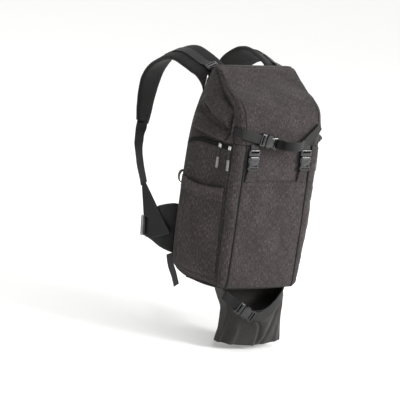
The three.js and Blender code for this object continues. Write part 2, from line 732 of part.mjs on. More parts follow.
// Shoulder straps: padded, from the top of the back panel over the shoulder to the chest. Rows are chosen by
// hand: across, forward of the back panel, and up from where the straps rest, in mm; dip and turn slant the
// strap's width.
const strapThickness = 11;
const raised = (rows) => rows.map((row) => ({ ...row, up: row.up + shoulderUp }));
const STRAP_ROUTE = raised([
  { across: 78, forward: 8, up: -74, dip: 0, turn: 0, width: 62 },
  { across: 82, forward: 10, up: -42, dip: 0.1, turn: 0, width: 68 },
  { across: 89, forward: 24, up: -18, dip: 0.35, turn: 0, width: 72 },
  { across: 93, forward: 52, up: -8, dip: 0.42, turn: 0, width: 74 },
  { across: 95, forward: 86, up: -1, dip: 0.44, turn: 0, width: 74 },
  { across: 96, forward: 118, up: 3, dip: 0.44, turn: 0, width: 74 },
  { across: 97, forward: 153, up: -2, dip: 0.42, turn: 0, width: 74 },
  { across: 98, forward: 190, up: -19, dip: 0.38, turn: 0.05, width: 73 },
  { across: 100, forward: 222, up: -42, dip: 0.3, turn: 0.15, width: 71 },
  { across: 103, forward: 243, up: -73, dip: 0.2, turn: 0.25, width: 68 },
  { across: 106, forward: 250, up: -111, dip: 0.1, turn: 0.35, width: 64 },
  { across: 110, forward: 248, up: -149, dip: 0.05, turn: 0.45, width: 58 },
  { across: 117, forward: 238, up: -183, dip: 0.05, turn: 0.6, width: 50 },
]);
const strapWide = (row) => [-1, -row.turn, -row.dip];

// Stops of a band along a route on the left side, lifted outwards from it
function routeStops(rows, { wideOf, width, lift = 0, thick }) {
  return rows.map((row, i) => {
    const before = rows[Math.max(0, i - 1)];
    const after = rows[Math.min(rows.length - 1, i + 1)];
    const across = before.across - after.across;
    const forward = new THREE.Vector3(across, after.forward - before.forward, after.up - before.up);
    const wide = new THREE.Vector3(...wideOf(row)).normalize();
    const out = new THREE.Vector3().crossVectors(forward, wide).normalize();
    const off = row.lift ?? lift;
    const at = new THREE.Vector3(-row.across, row.forward, row.up).addScaledVector(out, off);
    return { at: at.toArray(), wide: wide.toArray(), width: width ?? row.width, thick: thick ?? row.thick };
  });
}
function shoulderStrap() {
  return solid(band(routeStops(STRAP_ROUTE, { wideOf: strapWide, thick: strapThickness }), { soft: 0.12, steps: 2 }));
}

// Load lifters: webbing from the top of the back panel to the top of each shoulder strap, with a slider
const lifterLift = strapThickness / 2 + seamGap + webbingThickness;
const LIFTER_ROUTE = [
  ...raised([
    { across: 85, forward: 2.2, up: -17, dip: 0.2, turn: 0, lift: 0 },
    { across: 89, forward: 12, up: -8, dip: 0.3, turn: 0, lift: 0 },
    { across: 92, forward: 30, up: -2, dip: 0.4, turn: 0, lift: 0 },
  ]),
  ...STRAP_ROUTE.slice(3, 8),
];
const adjusterLength = 16;
function loadLifter() {
  const wideStops = { wideOf: strapWide, width: webbingWidth, lift: lifterLift, thick: webbingThickness };
  return solid(band(routeStops(LIFTER_ROUTE, wideStops), { steps: 2 }));
}
function lifterAdjuster() {
  const [a, b] = LIFTER_ROUTE.slice(1, 3);
  const mix = (name) => (a[name] + b[name]) / 2;
  const forward = [a.across - b.across, b.forward - a.forward, b.up - a.up];
  const out = new THREE.Vector3(...forward).cross(new THREE.Vector3(...strapWide(b))).normalize();
  const middle = new THREE.Vector3(-mix("across"), mix("forward"), mix("up"));
  const at = middle.addScaledVector(out, webbingThickness + 2 * seamGap);
  const width = webbingWidth + 2 * buckleMargin;
  const slots = [-4, 4].map((x) => ({ at: x, length: 3, width: webbingWidth + 1 }));
  return placed(plate(adjusterLength, width, 3, 2, slots), { at: at.toArray(), forward, out: out.toArray() });
}

// Below the chest each strap goes on as webbing, under the arm to a cloth gusset that is sewn to the hip wing
const lowerWebbingWidth = 25;
const LOWER_ROUTE = [
  ...raised([
    { across: 118.3, forward: 236.1, up: -186.7, turn: 0.6, dip: 0.05 },
    { across: 135, forward: 213, up: -221, turn: 1.4, dip: -0.4 },
  ]),
  { across: 148, forward: 178, up: 216, turn: 4, dip: -2 },
  { across: 154, forward: 144, up: 181.5, turn: 9, dip: -7 },
];
function lowerWebbing() {
  const wideStops = { wideOf: strapWide, width: lowerWebbingWidth, thick: webbingThickness };
  return solid(band(routeStops(LOWER_ROUTE, wideStops)));
}

// Hip belt: padded wings from the back panel round the hips, and webbing from wing to wing round the front.
// high is the wing's height and thick its thickness.
const HIP_ROUTE = [
  { across: 106, forward: 6.2, up: 102, width: 98, thick: 11 },
  { across: 124, forward: 7, up: 102, width: 106, thick: 11 },
  { across: 139, forward: 13, up: 102, width: 112, thick: 11 },
  { across: 146.5, forward: 34, up: 99, width: 102, thick: 11 },
  { across: 147.5, forward: 62, up: 94, width: 90, thick: 11 },
  { across: 147, forward: 88, up: 88, width: 70, thick: 10 },
  { across: 144, forward: 112, up: 81, width: 54, thick: 9 },
  { across: 138, forward: 134, up: 75, width: 46, thick: 8 },
  { across: 128, forward: 154, up: 70, width: 40, thick: 8 },
];
const wingWide = () => [0, 0, -1];
function hipWing() {
  return solid(band(routeStops(HIP_ROUTE, { wideOf: wingWide }), { soft: 0.06, steps: 2 }));
}
const onWing = (row) => row.thick / 2 + 3 * seamGap + webbingThickness / 2;
const BELT_ROUTE = [
  ...HIP_ROUTE.slice(6).map((row) => ({ ...row, lift: onWing(row) })),
  { across: 112, forward: 181, up: 64, lift: 3 },
  { across: 86, forward: 204, up: 60, lift: 1 },
  { across: 58, forward: 219, up: 57, lift: 0 },
  { across: 34, forward: 227, up: 56, lift: 0 },
];
function beltWebbing() {
  return solid(band(routeStops(BELT_ROUTE, { wideOf: wingWide, width: beltWidth, thick: webbingThickness })));
}
const beltSliderLength = 26;
function beltSlider() {
  const [a, b] = BELT_ROUTE.slice(0, 2);
  const forward = new THREE.Vector3(a.across - b.across, b.forward - a.forward, b.up - a.up).normalize();
  const out = new THREE.Vector3(-forward.y, forward.x, 0).normalize();
  const lift = (a.lift + b.lift) / 2 + webbingThickness / 2 + endGap;
  const middle = new THREE.Vector3(-(a.across + b.across) / 2, (a.forward + b.forward) / 2, (a.up + b.up) / 2);
  const slots = [-8, 8].map((x) => ({ at: x, length: 4, width: beltWidth + 1 }));
  const shape = plate(beltSliderLength, beltWidth + 2 * buckleMargin, 4, 3, slots);
  const at = middle.addScaledVector(out, lift).toArray();
  return placed(shape, { at, forward: forward.toArray(), out: out.toArray() });
}
function beltBuckle() {
  const end = BELT_ROUTE[BELT_ROUTE.length - 1];
  const length = 2 * (end.across - 2 * endGap);
  const shape = plate(length, beltWidth + 2 * buckleMargin, buckleThickness + 2, 6);
  const at = [0, end.forward - buckleThickness / 2, end.up];
  return placed(shape, { at, forward: [1, 0, 0], out: [0, 1, 0] });
}

// Gusset: a flat cloth triangle outside each hip wing, with the strap's webbing sewn to its top corner
const gussetInside = 153.4;
const gussetThickness = 2.4;
const GUSSET = [
  { forward: 131, up: 175 },
  { forward: 146, up: 177 },
  { forward: 119, up: 104 },
  { forward: 90, up: 103 },
  { forward: 81, up: 59 },
  { forward: 4, up: 93 },
  { forward: 73, up: 137 },
];
function gusset() {
  const outline = GUSSET.map((row) => [row.forward, row.up]);
  return sidePrism(outline, -gussetInside - gussetThickness, -gussetInside);
}

// Free end of the lower strap, hanging with its end folded over
const TAIL_ROUTE = [
  { across: 141, forward: 13, up: 43 },
  { across: 142.5, forward: 9, up: 36 },
  { across: 144, forward: -3, up: 20 },
  { across: 143.9, forward: -20, up: 3 },
  { across: 143, forward: -34, up: -17 },
];
function strapTail() {
  const wideStops = { wideOf: () => [0, -1, 0], width: lowerWebbingWidth - 2, thick: webbingThickness };
  return solid(band(routeStops(TAIL_ROUTE, wideStops), { steps: 2 }));
}

// Side loops at the back edge, above the side pockets
const sideLoopHeight = 228;
const sideLoopHalf = 14;
function sideLoop() {
  const foot = sideOut(-backCornerRadius, sideLoopHeight, seamGap + strapLift);
  const rows = [
    [-foot + 1.5, -11, sideLoopHeight + sideLoopHalf],
    [-foot - 4, -9, sideLoopHeight + sideLoopHalf - 3],
    [-foot - 7, -8, sideLoopHeight],
    [-foot - 4, -9, sideLoopHeight - sideLoopHalf + 3],
    [-foot + 1.5, -11, sideLoopHeight - sideLoopHalf],
  ];
  const loop = rows.map((at) => ({ at, wide: [0.3, 1, 0], width: 14, thick: webbingThickness }));
  return solid(band(loop, { steps: 2 })).subtract(packForm(seamGap + panelThickness + seamGap));
}

// Zip sliders, each with its cord pull hanging over the side door
const sliderLength = 12;
const pullLength = 50;
const SLIDERS = { rear: 106, front: 130 }; // in front of the back panel
function zipPull(fore) {
  const share = 1 - (fore - doorRear) / (sideSeam - doorRear);
  const [y, z] = zipLine(share);
  const lean = Math.atan2(backHalfWidth - frontHalfWidth, sideSeam);
  const cloth = seamGap + panelThickness + 2 * seamGap + 1;
  const place = (drop, lift) => new THREE.Vector3(-sideOut(y, z - drop, lift), y, z - drop);
  const forward = place(pullLength, cloth).sub(place(0, cloth)).normalize();
  const out = new THREE.Vector3(-Math.cos(lean), -Math.sin(lean), 0);
  out.addScaledVector(forward, -out.dot(forward));
  const seat = (down, lift) => ({
    at: place(0, lift).addScaledVector(forward, down).toArray(),
    forward: forward.toArray(),
    out: out.toArray(),
  });
  const slider = placed(plate(sliderLength, 8, 4, 2), seat(0, cloth - 0.5));
  const pull = placed(plate(pullLength, 7, 3.4, 2), seat(sliderLength / 2 + pullLength / 2 - 2, cloth + 1));
  return slider.add(pull);
}

// Pull of the back panel's zip, lying along the pack's upper back edge
const backPullLength = 34;
function backZipPull() {
  const seat = { at: [-110.3, 2.3, packHeight - 42], forward: [-0.53, 0, -0.85], out: [-0.7, 0.7, 0] };
  return placed(plate(backPullLength, 4, 3, 1.5), seat);
}

add("main_shell", mainShell(), "heather");
add("lid", lid(), "heather");
addPair("corner_strip", cornerStrip(), "heather");
add("front_pocket", frontPocket(), "heather");
addPair("side_door", sideDoor(), "heather");
addPair("side_zip", sideZip(), "zip");
addPair("side_pocket", sidePocket(), "heather");

addPair("lid_strap", frontStrip(webbingWidth, webbingThickness, lidStrapFoot, lidStrapTop), "webbing");
addPair("lid_clip", frontBuckle().clip, "buckle");
addPair("lid_socket", frontBuckle().socket, "buckle");
addPair("socket_tab", frontStrip(tabWidth, clothThickness, tabFoot, tabTop), "heather");

add("front_strap_left", upperStrapLeft(), "webbing");
add("front_strap_clip", upperBuckle().clip, "buckle");
add("front_strap_socket", upperBuckle().socket, "buckle");
add("front_strap_right", upperStrapRight(), "webbing");
add("foot_pouch", pouch(), "black_cloth");
add("pouch_strap_left", rimStrapLeft(), "webbing");
add("pouch_clip", rimBuckle().clip, "buckle");
add("pouch_socket", rimBuckle().socket, "buckle");
add("pouch_strap_right", rimStrapRight(), "webbing");
add("back_panel", backPanel(), "black_cloth");
addPair("shoulder_strap", shoulderStrap(), "black_cloth");
addPair("load_lifter", loadLifter(), "webbing");
addPair("lifter_adjuster", lifterAdjuster(), "buckle");
addPair("lower_webbing", lowerWebbing(), "webbing");
addPair("hip_wing", hipWing(), "black_cloth");
addPair("belt_webbing", beltWebbing(), "webbing");
addPair("belt_slider", beltSlider(), "buckle");
add("belt_buckle", beltBuckle(), "buckle");
addPair("gusset", gusset(), "black_cloth");
addPair("strap_tail", strapTail(), "webbing");
addPair("side_loop", sideLoop(), "webbing");
addPair("zip_pull_rear", zipPull(SLIDERS.rear), "metal");
addPair("zip_pull_front", zipPull(SLIDERS.front), "metal");
add("back_zip_pull", backZipPull(), "metal");

export default group;
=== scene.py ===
# %% [markdown]
# # A camera backpack
#
# The object is a padded camera pack in its worn form: a hollow body of heathered polyester with a sloping
# lid, a door and a slack pocket on each side, a slip pocket in front, a carrying strap with a foot pouch for
# long gear, and a black padded harness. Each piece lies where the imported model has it, and the tables here
# repeat the model's measures. Lengths are worked out in millimetres from the pack's own base and back panel,
# and turned to the shared frame, in metres, when a mesh is made.

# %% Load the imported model
import math
import random

import bpy
import numpy as np
from mathutils import Matrix, Vector


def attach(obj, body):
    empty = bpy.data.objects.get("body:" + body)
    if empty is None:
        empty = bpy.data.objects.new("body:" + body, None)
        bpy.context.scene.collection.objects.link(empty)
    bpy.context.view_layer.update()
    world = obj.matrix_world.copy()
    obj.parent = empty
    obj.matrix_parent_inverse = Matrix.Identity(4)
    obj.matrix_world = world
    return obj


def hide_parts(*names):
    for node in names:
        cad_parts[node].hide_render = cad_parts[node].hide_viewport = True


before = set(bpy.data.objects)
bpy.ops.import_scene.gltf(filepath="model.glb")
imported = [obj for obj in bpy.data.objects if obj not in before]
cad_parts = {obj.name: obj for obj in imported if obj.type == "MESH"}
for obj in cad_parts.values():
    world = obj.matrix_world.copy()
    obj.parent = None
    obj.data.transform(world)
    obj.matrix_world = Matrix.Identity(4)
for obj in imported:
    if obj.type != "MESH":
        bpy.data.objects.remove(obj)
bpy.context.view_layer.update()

MM = 0.001
ORIGIN = np.array([0.0, 115.0, 475.0])  # the shared origin, between the shoulder straps


def to_row(points):
    return (np.asarray(points, dtype=float) - ORIGIN) * MM


# %% [markdown]
# ## Camera
#
# The photograph was taken from a few metres away with a long lens, from behind and to the left, and slightly
# from above, with the pack leaning in the frame. A long lens keeps the pack's upright lines parallel. The
# camera is aimed straight through the middle of the frame, so no lens shift is needed.

# %% Place the camera
PHOTO_SIZE = 400
VIEW = {"azimuth": 34.5, "elevation": 12.2, "roll": 7.9, "distance": 5800.0, "scale": 0.4507}
AIM = np.array([0.0, -75.0, 260.0])  # a point in the middle of the pack
AIM_PIXEL = (256.5, 168.9)  # where that point is in the frame


def place_camera():
    azimuth, elevation, roll = (math.radians(VIEW[k]) for k in ("azimuth", "elevation", "roll"))
    flat = math.cos(elevation)
    back = Vector((-math.sin(azimuth) * flat, -math.cos(azimuth) * flat, math.sin(elevation)))
    level = Vector((math.cos(azimuth), -math.sin(azimuth), 0))
    upright = back.cross(level)
    right = level * math.cos(roll) + upright * math.sin(roll)
    up = upright * math.cos(roll) - level * math.sin(roll)
    focal = VIEW["scale"] * VIEW["distance"]
    middle = PHOTO_SIZE / 2
    forward = -back * focal + right * (middle - AIM_PIXEL[0]) - up * (middle - AIM_PIXEL[1])
    forward.normalize()
    right = forward.cross(up).normalized()
    up = right.cross(forward)
    data = bpy.data.cameras.new("photo_camera")
    data.sensor_width = 36
    data.lens = focal / PHOTO_SIZE * data.sensor_width
    data.clip_end = 100
    camera = bpy.data.objects.new("photo_camera", data)
    bpy.context.scene.collection.objects.link(camera)
    place = Matrix((right, up, -forward)).transposed().to_4x4()
    place.translation = Vector(to_row(AIM)) + back * VIEW["distance"] * MM
    camera.matrix_world = place
    bpy.context.scene.camera = camera
    return data.lens


print("lens", round(place_camera(), 1), "mm")

# %% [markdown]
# ## Light and ground
#
# The pack stands out against white, in soft light that comes mostly from the right and from above, so its
# front is the lightest face and its left side falls off. One large area light does that, with a weak one from
# behind for the upper edges and a bright world for the rest. The world is darker on the left, as with a dark
# card beside the set, to keep that side from filling in, and a small light grazes it to show its folds. The
# ground is plain and pale.

# %% Lights and world


def area_light(name, at, aim, size, power):
    data = bpy.data.lights.new(name, "AREA")
    data.shape = "DISK"
    data.size = size
    data.energy = power
    light = bpy.data.objects.new(name, data)
    light.location = at
    light.rotation_euler = (Vector(aim) - Vector(at)).to_track_quat("-Z", "Y").to_euler()
    bpy.context.scene.collection.objects.link(light)


MIDDLE = (0.0, -0.15, -0.2)
area_light("key", (1.9, -2.5, 1.0), MIDDLE, 1.2, 100)
area_light("graze", (-1.5, -2.9, 2.3), MIDDLE, 0.7, 34)
area_light("top", (0.4, 1.2, 2.2), MIDDLE, 1.2, 6)

world = bpy.data.worlds.new("studio")
world.use_nodes = True
tree = world.node_tree
direction = tree.nodes.new("ShaderNodeTexCoord").outputs["Generated"]
axes = tree.nodes.new("ShaderNodeSeparateXYZ")
tree.links.new(direction, axes.inputs[0])
fall = tree.nodes.new("ShaderNodeMapRange")
for label, value in {"From Min": -0.9, "From Max": -0.1, "To Min": 0.3, "To Max": 1.1}.items():
    fall.inputs[label].default_value = value
tree.links.new(axes.outputs["X"], fall.inputs["Value"])
tree.links.new(fall.outputs[0], tree.nodes["Background"].inputs["Strength"])
tree.nodes["Background"].inputs["Color"].default_value = (1.0, 1.0, 1.0, 1.0)
bpy.context.scene.world = world
bpy.context.scene.view_settings.view_transform = "Standard"  # a plain studio picture, with no film curve

# %% [markdown]
# ## Colours and node helper
#
# Colours are written as they look on a screen, in sRGB hex, and turned to linear light once. One small
# function adds a shader node with its settings and its links.

# %% Colour and node helpers


def linear(hex_colour):
    parts = [int(hex_colour[i : i + 2], 16) / 255 for i in (1, 3, 5)]
    return (*[c / 12.92 if c <= 0.04045 else ((c + 0.055) / 1.055) ** 2.4 for c in parts], 1.0)


def add_node(tree, kind, settings=None, **inputs):
    """A node of a kind; an input is a value, or another node's output."""
    node = tree.nodes.new(kind)
    for name, value in (settings or {}).items():
        setattr(node, name, value)
    for name, value in inputs.items():
        numbered = name[0] == "_" and name[1:].isdigit()
        socket = node.inputs[int(name[1:]) if numbered else name.replace("_", " ")]
        if isinstance(value, bpy.types.NodeSocket):
            tree.links.new(value, socket)
        else:
            socket.default_value = value
    return node


def new_material(name):
    material = bpy.data.materials.new(name)
    material.use_nodes = True
    tree = material.node_tree
    shader = tree.nodes["Principled BSDF"]
    return material, tree, shader


def ramp(tree, value, stops):
    """A colour ramp over a value from stops of place and hex colour."""
    node = add_node(tree, "ShaderNodeValToRGB", Fac=value)
    elements = node.color_ramp.elements
    while len(elements) < len(stops):
        elements.new(0.5)
    for element, (place, colour) in zip(elements, stops):
        element.position = place
        element.color = linear(colour)
    return node.outputs["Color"]


def cell_size(*sizes_mm):
    """Mapping scale for a pattern whose repeat is so many millimetres in u and v."""
    return tuple(1 / (size * MM) for size in sizes_mm) + (1.0,) * (3 - len(sizes_mm))


# %% [markdown]
# ## Cloth, webbing and plastic
#
# The body is heathered polyester: yarns of two greys are spun together, so the cloth shows fine light flecks
# that run up the panel. Every panel has a UV map in real lengths, u across and v up the cloth, and the flecks
# follow it. The real flecks are under a millimetre wide; they are drawn a little coarser, so that they show.

# %% Heathered polyester


def woven_height(tree, vector, pitch_mm):
    """Two crossing sets of threads, as one height from 0 to 1."""
    waves = []
    for direction in ("X", "Y"):
        scaled = add_node(tree, "ShaderNodeMapping", Vector=vector, Scale=cell_size(pitch_mm, pitch_mm))
        waves.append(
            add_node(
                tree,
                "ShaderNodeTexWave",
                {"wave_type": "BANDS", "bands_direction": direction, "wave_profile": "SIN"},
                Vector=scaled.outputs[0],
                Scale=0.3183,
                Distortion=0.6,
                Detail=1.0,
            ).outputs["Fac"]
        )
    return add_node(tree, "ShaderNodeMath", {"operation": "MAXIMUM"}, _0=waves[0], _1=waves[1]).outputs[0]


def grain_noise(tree, uv, cell, detail, roughness=0.5):
    """Noise in cells of a size along the cloth's two threads."""
    place = add_node(tree, "ShaderNodeMapping", Vector=uv, Scale=cell).outputs[0]
    noise = add_node(
        tree, "ShaderNodeTexNoise", Vector=place, Scale=1.0, Detail=detail, Roughness=roughness
    )
    return noise.outputs["Fac"]


def cloth_material(name, colours, *, fleck, pitch, rough, sheen, bump, contrast=(0.37, 0.64)):
    material, tree, shader = new_material(name)
    uv = add_node(tree, "ShaderNodeUVMap", {"uv_map": "cloth"}).outputs[0]
    flecks = grain_noise(tree, uv, cell_size(fleck, fleck * 7), 3.0, 0.6)
    crosses = grain_noise(tree, uv, cell_size(fleck * 5, fleck), 2.0)
    both = add_node(tree, "ShaderNodeMix", _0=0.35, _2=flecks, _3=crosses)
    wide = grain_noise(tree, uv, cell_size(45, 70), 2.0)
    mixed = add_node(tree, "ShaderNodeMix", _0=0.14, _2=both.outputs[0], _3=wide)
    dark, middle, light = colours
    colour = ramp(tree, mixed.outputs[0], [(contrast[0], dark), (0.5, middle), (contrast[1], light)])
    threads = woven_height(tree, uv, pitch)
    lumps = add_node(tree, "ShaderNodeMix", _0=0.5, _2=threads, _3=flecks)
    relief = add_node(tree, "ShaderNodeBump", Height=lumps.outputs[0], Strength=bump, Distance=0.4 * MM)
    tree.links.new(colour, shader.inputs["Base Color"])
    tree.links.new(relief.outputs[0], shader.inputs["Normal"])
    spread = add_node(tree, "ShaderNodeMapRange", Value=flecks, To_Min=rough - 0.06, To_Max=rough + 0.06)
    tree.links.new(spread.outputs[0], shader.inputs["Roughness"])
    shader.inputs["Sheen Weight"].default_value = sheen
    shader.inputs["Sheen Roughness"].default_value = 0.5
    shader.inputs["Specular IOR Level"].default_value = 0.25
    return material


heather = cloth_material(
    "heathered_polyester",
    ("#1b1818", "#302b2b", "#514a49"),
    fleck=1.35,
    pitch=1.1,
    rough=0.9,
    sheen=0.05,
    bump=0.5,
)
# The hem band is the body's heathered cloth drawn lighter: a painted highlight where the turned hem catches
# the light.
hem_highlight_cloth = cloth_material(
    "heathered_polyester_hem_painted_highlight",
    ("#221e1e", "#383332", "#5a5352"),
    fleck=1.35,
    pitch=1.1,
    rough=0.9,
    sheen=0.06,
    bump=0.5,
)
black_cloth = cloth_material(
    "black_nylon_plain_weave",
    ("#070707", "#0e0d0d", "#181616"),
    fleck=0.9,
    pitch=0.9,
    rough=0.78,
    sheen=0.03,
    bump=0.35,
)
grey_cloth = cloth_material(
    "grey_harness_cloth",
    ("#0d0c0c", "#181616", "#282525"),
    fleck=1.2,
    pitch=1.1,
    rough=0.88,
    sheen=0.04,
    bump=0.4,
)
pouch_cloth = cloth_material(
    "pouch_ripstop_nylon",
    ("#1b1817", "#282524", "#373230"),
    fleck=1.0,
    pitch=0.8,
    rough=0.62,
    sheen=0.05,
    bump=0.2,
)

# %% [markdown]
# Webbing is woven nylon with a rib across its width and a firm edge, and it takes a slight shine. The piping
# and the bindings are narrow black tape folded over a seam. Zip coils are black nylon too.

# %% Webbing, tape and zip


def ribbed_material(name, colours, *, rib, rough, bump, specular=0.35):
    material, tree, shader = new_material(name)
    uv = add_node(tree, "ShaderNodeUVMap", {"uv_map": "cloth"}).outputs[0]
    ribs = add_node(
        tree,
        "ShaderNodeTexWave",
        {"wave_type": "BANDS", "bands_direction": "Y"},
        Vector=add_node(tree, "ShaderNodeMapping", Vector=uv, Scale=cell_size(rib, rib)).outputs[0],
        Scale=0.3183,
        Distortion=0.8,
        Detail=1.0,
    )
    grain = grain_noise(tree, uv, cell_size(0.8, 3), 2.0)
    both = add_node(tree, "ShaderNodeMix", _0=0.6, _2=ribs.outputs["Fac"], _3=grain)
    dark, light = colours
    tree.links.new(ramp(tree, both.outputs[0], [(0.15, dark), (0.85, light)]), shader.inputs["Base Color"])
    relief = add_node(tree, "ShaderNodeBump", Height=both.outputs[0], Strength=bump, Distance=0.35 * MM)
    tree.links.new(relief.outputs[0], shader.inputs["Normal"])
    shader.inputs["Roughness"].default_value = rough
    shader.inputs["Specular IOR Level"].default_value = specular
    shader.inputs["Sheen Weight"].default_value = 0.02
    return material


webbing = ribbed_material("nylon_webbing", ("#0e0d0d", "#1b1919"), rib=1.6, rough=0.62, bump=0.5)
black_webbing = ribbed_material("black_nylon_webbing", ("#050505", "#100f0f"), rib=1.6, rough=0.6, bump=0.5)
binding = ribbed_material("grosgrain_binding", ("#080808", "#131212"), rib=1.2, rough=0.7, bump=0.4)
thread = ribbed_material("polyester_thread", ("#1d1b1b", "#393635"), rib=0.5, rough=0.6, bump=0.2)
zip_coil = ribbed_material("nylon_zip_coil", ("#0b0b0b", "#1a1919"), rib=1.4, rough=0.45, bump=0.3)

# %% [markdown]
# The buckles are moulded acetal in a dark grey, with a fine spark-eroded grain that softens the highlights.
# The sliders are die-cast zinc with a nickel plate. The pulls are braided cord, black with light grey ends.

# %% Moulded plastic, nickel and cord


def grained_material(name, colour, *, rough, metallic=0.0, grain_mm=0.5, bump=0.15, coat=0.0):
    material, tree, shader = new_material(name)
    place = add_node(tree, "ShaderNodeTexCoord").outputs["Object"]
    fine = add_node(tree, "ShaderNodeTexNoise", Vector=place, Scale=1 / (grain_mm * MM), Detail=2.0)
    wear = add_node(tree, "ShaderNodeTexNoise", Vector=place, Scale=1 / (9 * MM), Detail=4.0)
    uneven = add_node(
        tree,
        "ShaderNodeMapRange",
        Value=wear.outputs["Fac"],
        From_Min=0.3,
        From_Max=0.7,
        To_Min=rough - 0.07,
        To_Max=rough + 0.09,
    )
    tree.links.new(uneven.outputs[0], shader.inputs["Roughness"])
    relief = add_node(tree, "ShaderNodeBump", Height=fine.outputs["Fac"], Strength=bump, Distance=0.05 * MM)
    tree.links.new(relief.outputs[0], shader.inputs["Normal"])
    shader.inputs["Base Color"].default_value = linear(colour)
    shader.inputs["Metallic"].default_value = metallic
    shader.inputs["Coat Weight"].default_value = coat
    return material


acetal = grained_material("moulded_acetal", "#161617", rough=0.3, coat=0.25)
nickel = grained_material("nickel_plated_zinc", "#d2cfcc", rough=0.28, metallic=1.0, bump=0.05)
cord_dark = ribbed_material("braided_cord_black", ("#1b1a1a", "#3a3837"), rib=1.8, rough=0.7, bump=0.8)
cord_light = ribbed_material("braided_cord_grey", ("#3a3a3b", "#a6a3a0"), rib=3.0, rough=0.55, bump=0.8)
print("materials", len(bpy.data.materials))

# %% [markdown]
# ## The pack's form
#
# The body is one lofted form. Each row of the table is a level section: up is a share of the pack's height,
# back and front are half widths, rear and fore are depths from the back panel, strip is the width of the sewn
# strip that turns the front corner, and lean says how much a layer's thickness shows in a level cut. Between
# the rows the sizes run on smooth curves that never overshoot, as stretched cloth does.

# %% Sections of the body
PACK = {"height": 480.0, "back": 150.0, "front": 108.0, "depth": 150.0, "strip": 27.0}
CORNER = {"back": 20.0, "reach": 17.0}
BULGE = {"side": 4.0, "front": 4.0}
SECTION_NAMES = ("up", "back", "front", "rear", "fore", "strip", "lean")
SECTIONS = np.array(
    [
        (0.0, 0.74, 0.852, 0.3, 0.87, 0.8, 1),
        (0.017, 0.86, 0.916, 0.12, 0.95, 0.9, 1),
        (0.05, 0.945, 0.942, 0.02, 0.985, 1, 1),
        (0.11, 0.985, 0.958, 0, 0.99, 1, 1),
        (0.31, 1.0, 0.98, 0, 1, 1, 1),
        (0.5, 0.995, 1.0, 0, 1, 1, 1),
        (0.64, 0.98, 1.0, 0, 1, 0.95, 1),
        (0.685, 0.968, 1.0, 0, 1, 0.92, 1),
        (0.715, 0.958, 0.99, 0, 1, 0.88, 1),
        (0.745, 0.945, 0.974, 0, 1, 0.8, 1),
        (0.785, 0.92, 0.958, 0, 0.995, 0.7, 1),
        (0.82, 0.89, 0.958, 0, 0.96, 0.6, 1.3),
        (0.85, 0.865, 0.955, 0, 0.9, 0.5, 1.6),
        (0.885, 0.825, 0.937, 0, 0.74, 0.42, 1.8),
        (0.92, 0.785, 0.937, 0, 0.49, 0.35, 1.8),
        (0.965, 0.71, 0.916, 0, 0.235, 0.25, 1.7),
        (0.998, 0.65, 0.884, 0.01, 0.1, 0.15, 1.5),
    ]
)


def smooth_curve(x, y):
    """A cubic through the points that keeps each rise a rise and each fall a fall."""
    step = np.diff(x)
    slope = np.diff(y) / step
    tangent = np.zeros_like(y)
    same = slope[:-1] * slope[1:] > 0
    tangent[1:-1][same] = 2 * slope[:-1][same] * slope[1:][same] / (slope[:-1] + slope[1:])[same]
    tangent[0], tangent[-1] = slope[0], slope[-1]

    def at(value):
        value = np.clip(value, x[0], x[-1])
        i = np.clip(np.searchsorted(x, value) - 1, 0, len(step) - 1)
        t = (value - x[i]) / step[i]
        a = 2 * t**3 - 3 * t**2 + 1
        b = t**3 - 2 * t**2 + t
        start = a * y[i] + b * step[i] * tangent[i]
        return start + (1 - a) * y[i + 1] + (t**3 - t**2) * step[i] * tangent[i + 1]

    return at


COLUMN = {name: smooth_curve(SECTIONS[:, 0], SECTIONS[:, i]) for i, name in enumerate(SECTION_NAMES)}


def section(z, grow=0.0):
    """Sizes in mm of the level section at z, grown outwards."""
    share = np.asarray(z, dtype=float) / PACK["height"]
    size = {
        "back": COLUMN["back"](share) * PACK["back"] + grow,
        "front": COLUMN["front"](share) * PACK["front"] + grow,
        "rear": -COLUMN["rear"](share) * PACK["depth"] + grow,
        "fore": -COLUMN["fore"](share) * PACK["depth"] - grow * COLUMN["lean"](share),
        "strip": COLUMN["strip"](share) * PACK["strip"],
    }
    depth = size["rear"] - size["fore"]
    size["radius"] = np.minimum(CORNER["back"], depth * 0.3)
    size["reach"] = np.minimum(CORNER["reach"] * COLUMN["strip"](share), depth * 0.3)
    return size


def side_out(y, z, grow=0.0):
    """How far out the side lies at y and z."""
    s = section(z, grow)
    start, end = s["rear"] - s["radius"], s["fore"] + s["reach"]
    along = np.clip((start - y) / (start - end), 0, 1)
    flat = s["back"] + (s["front"] - s["back"]) * along + BULGE["side"] * np.sin(np.pi * along)
    rear = np.sqrt(np.clip((s["rear"] - y) / s["radius"], 0, 1))
    front = 1 - np.sqrt(np.clip((y - s["fore"]) / s["reach"], 0, 1))
    out = np.where(y > start, s["back"] - s["radius"] * (1 - rear) ** 2, flat)
    return np.where(y < end, s["front"] - s["strip"] * front**2, out)


def front_out(x, z, grow=0.0):
    """How far in front of the back panel the front lies at x and z, as a negative y."""
    s = section(z, grow)
    half = s["front"] - s["strip"]
    flat = s["fore"] - BULGE["front"] * np.sin(np.pi * np.clip((x + half) / (2 * half), 0, 1))
    bend = np.sqrt(np.clip((s["front"] - np.abs(x)) / s["strip"], 0, 1))
    return np.where(np.abs(x) > half, s["fore"] + s["reach"] * (1 - bend) ** 2, flat)


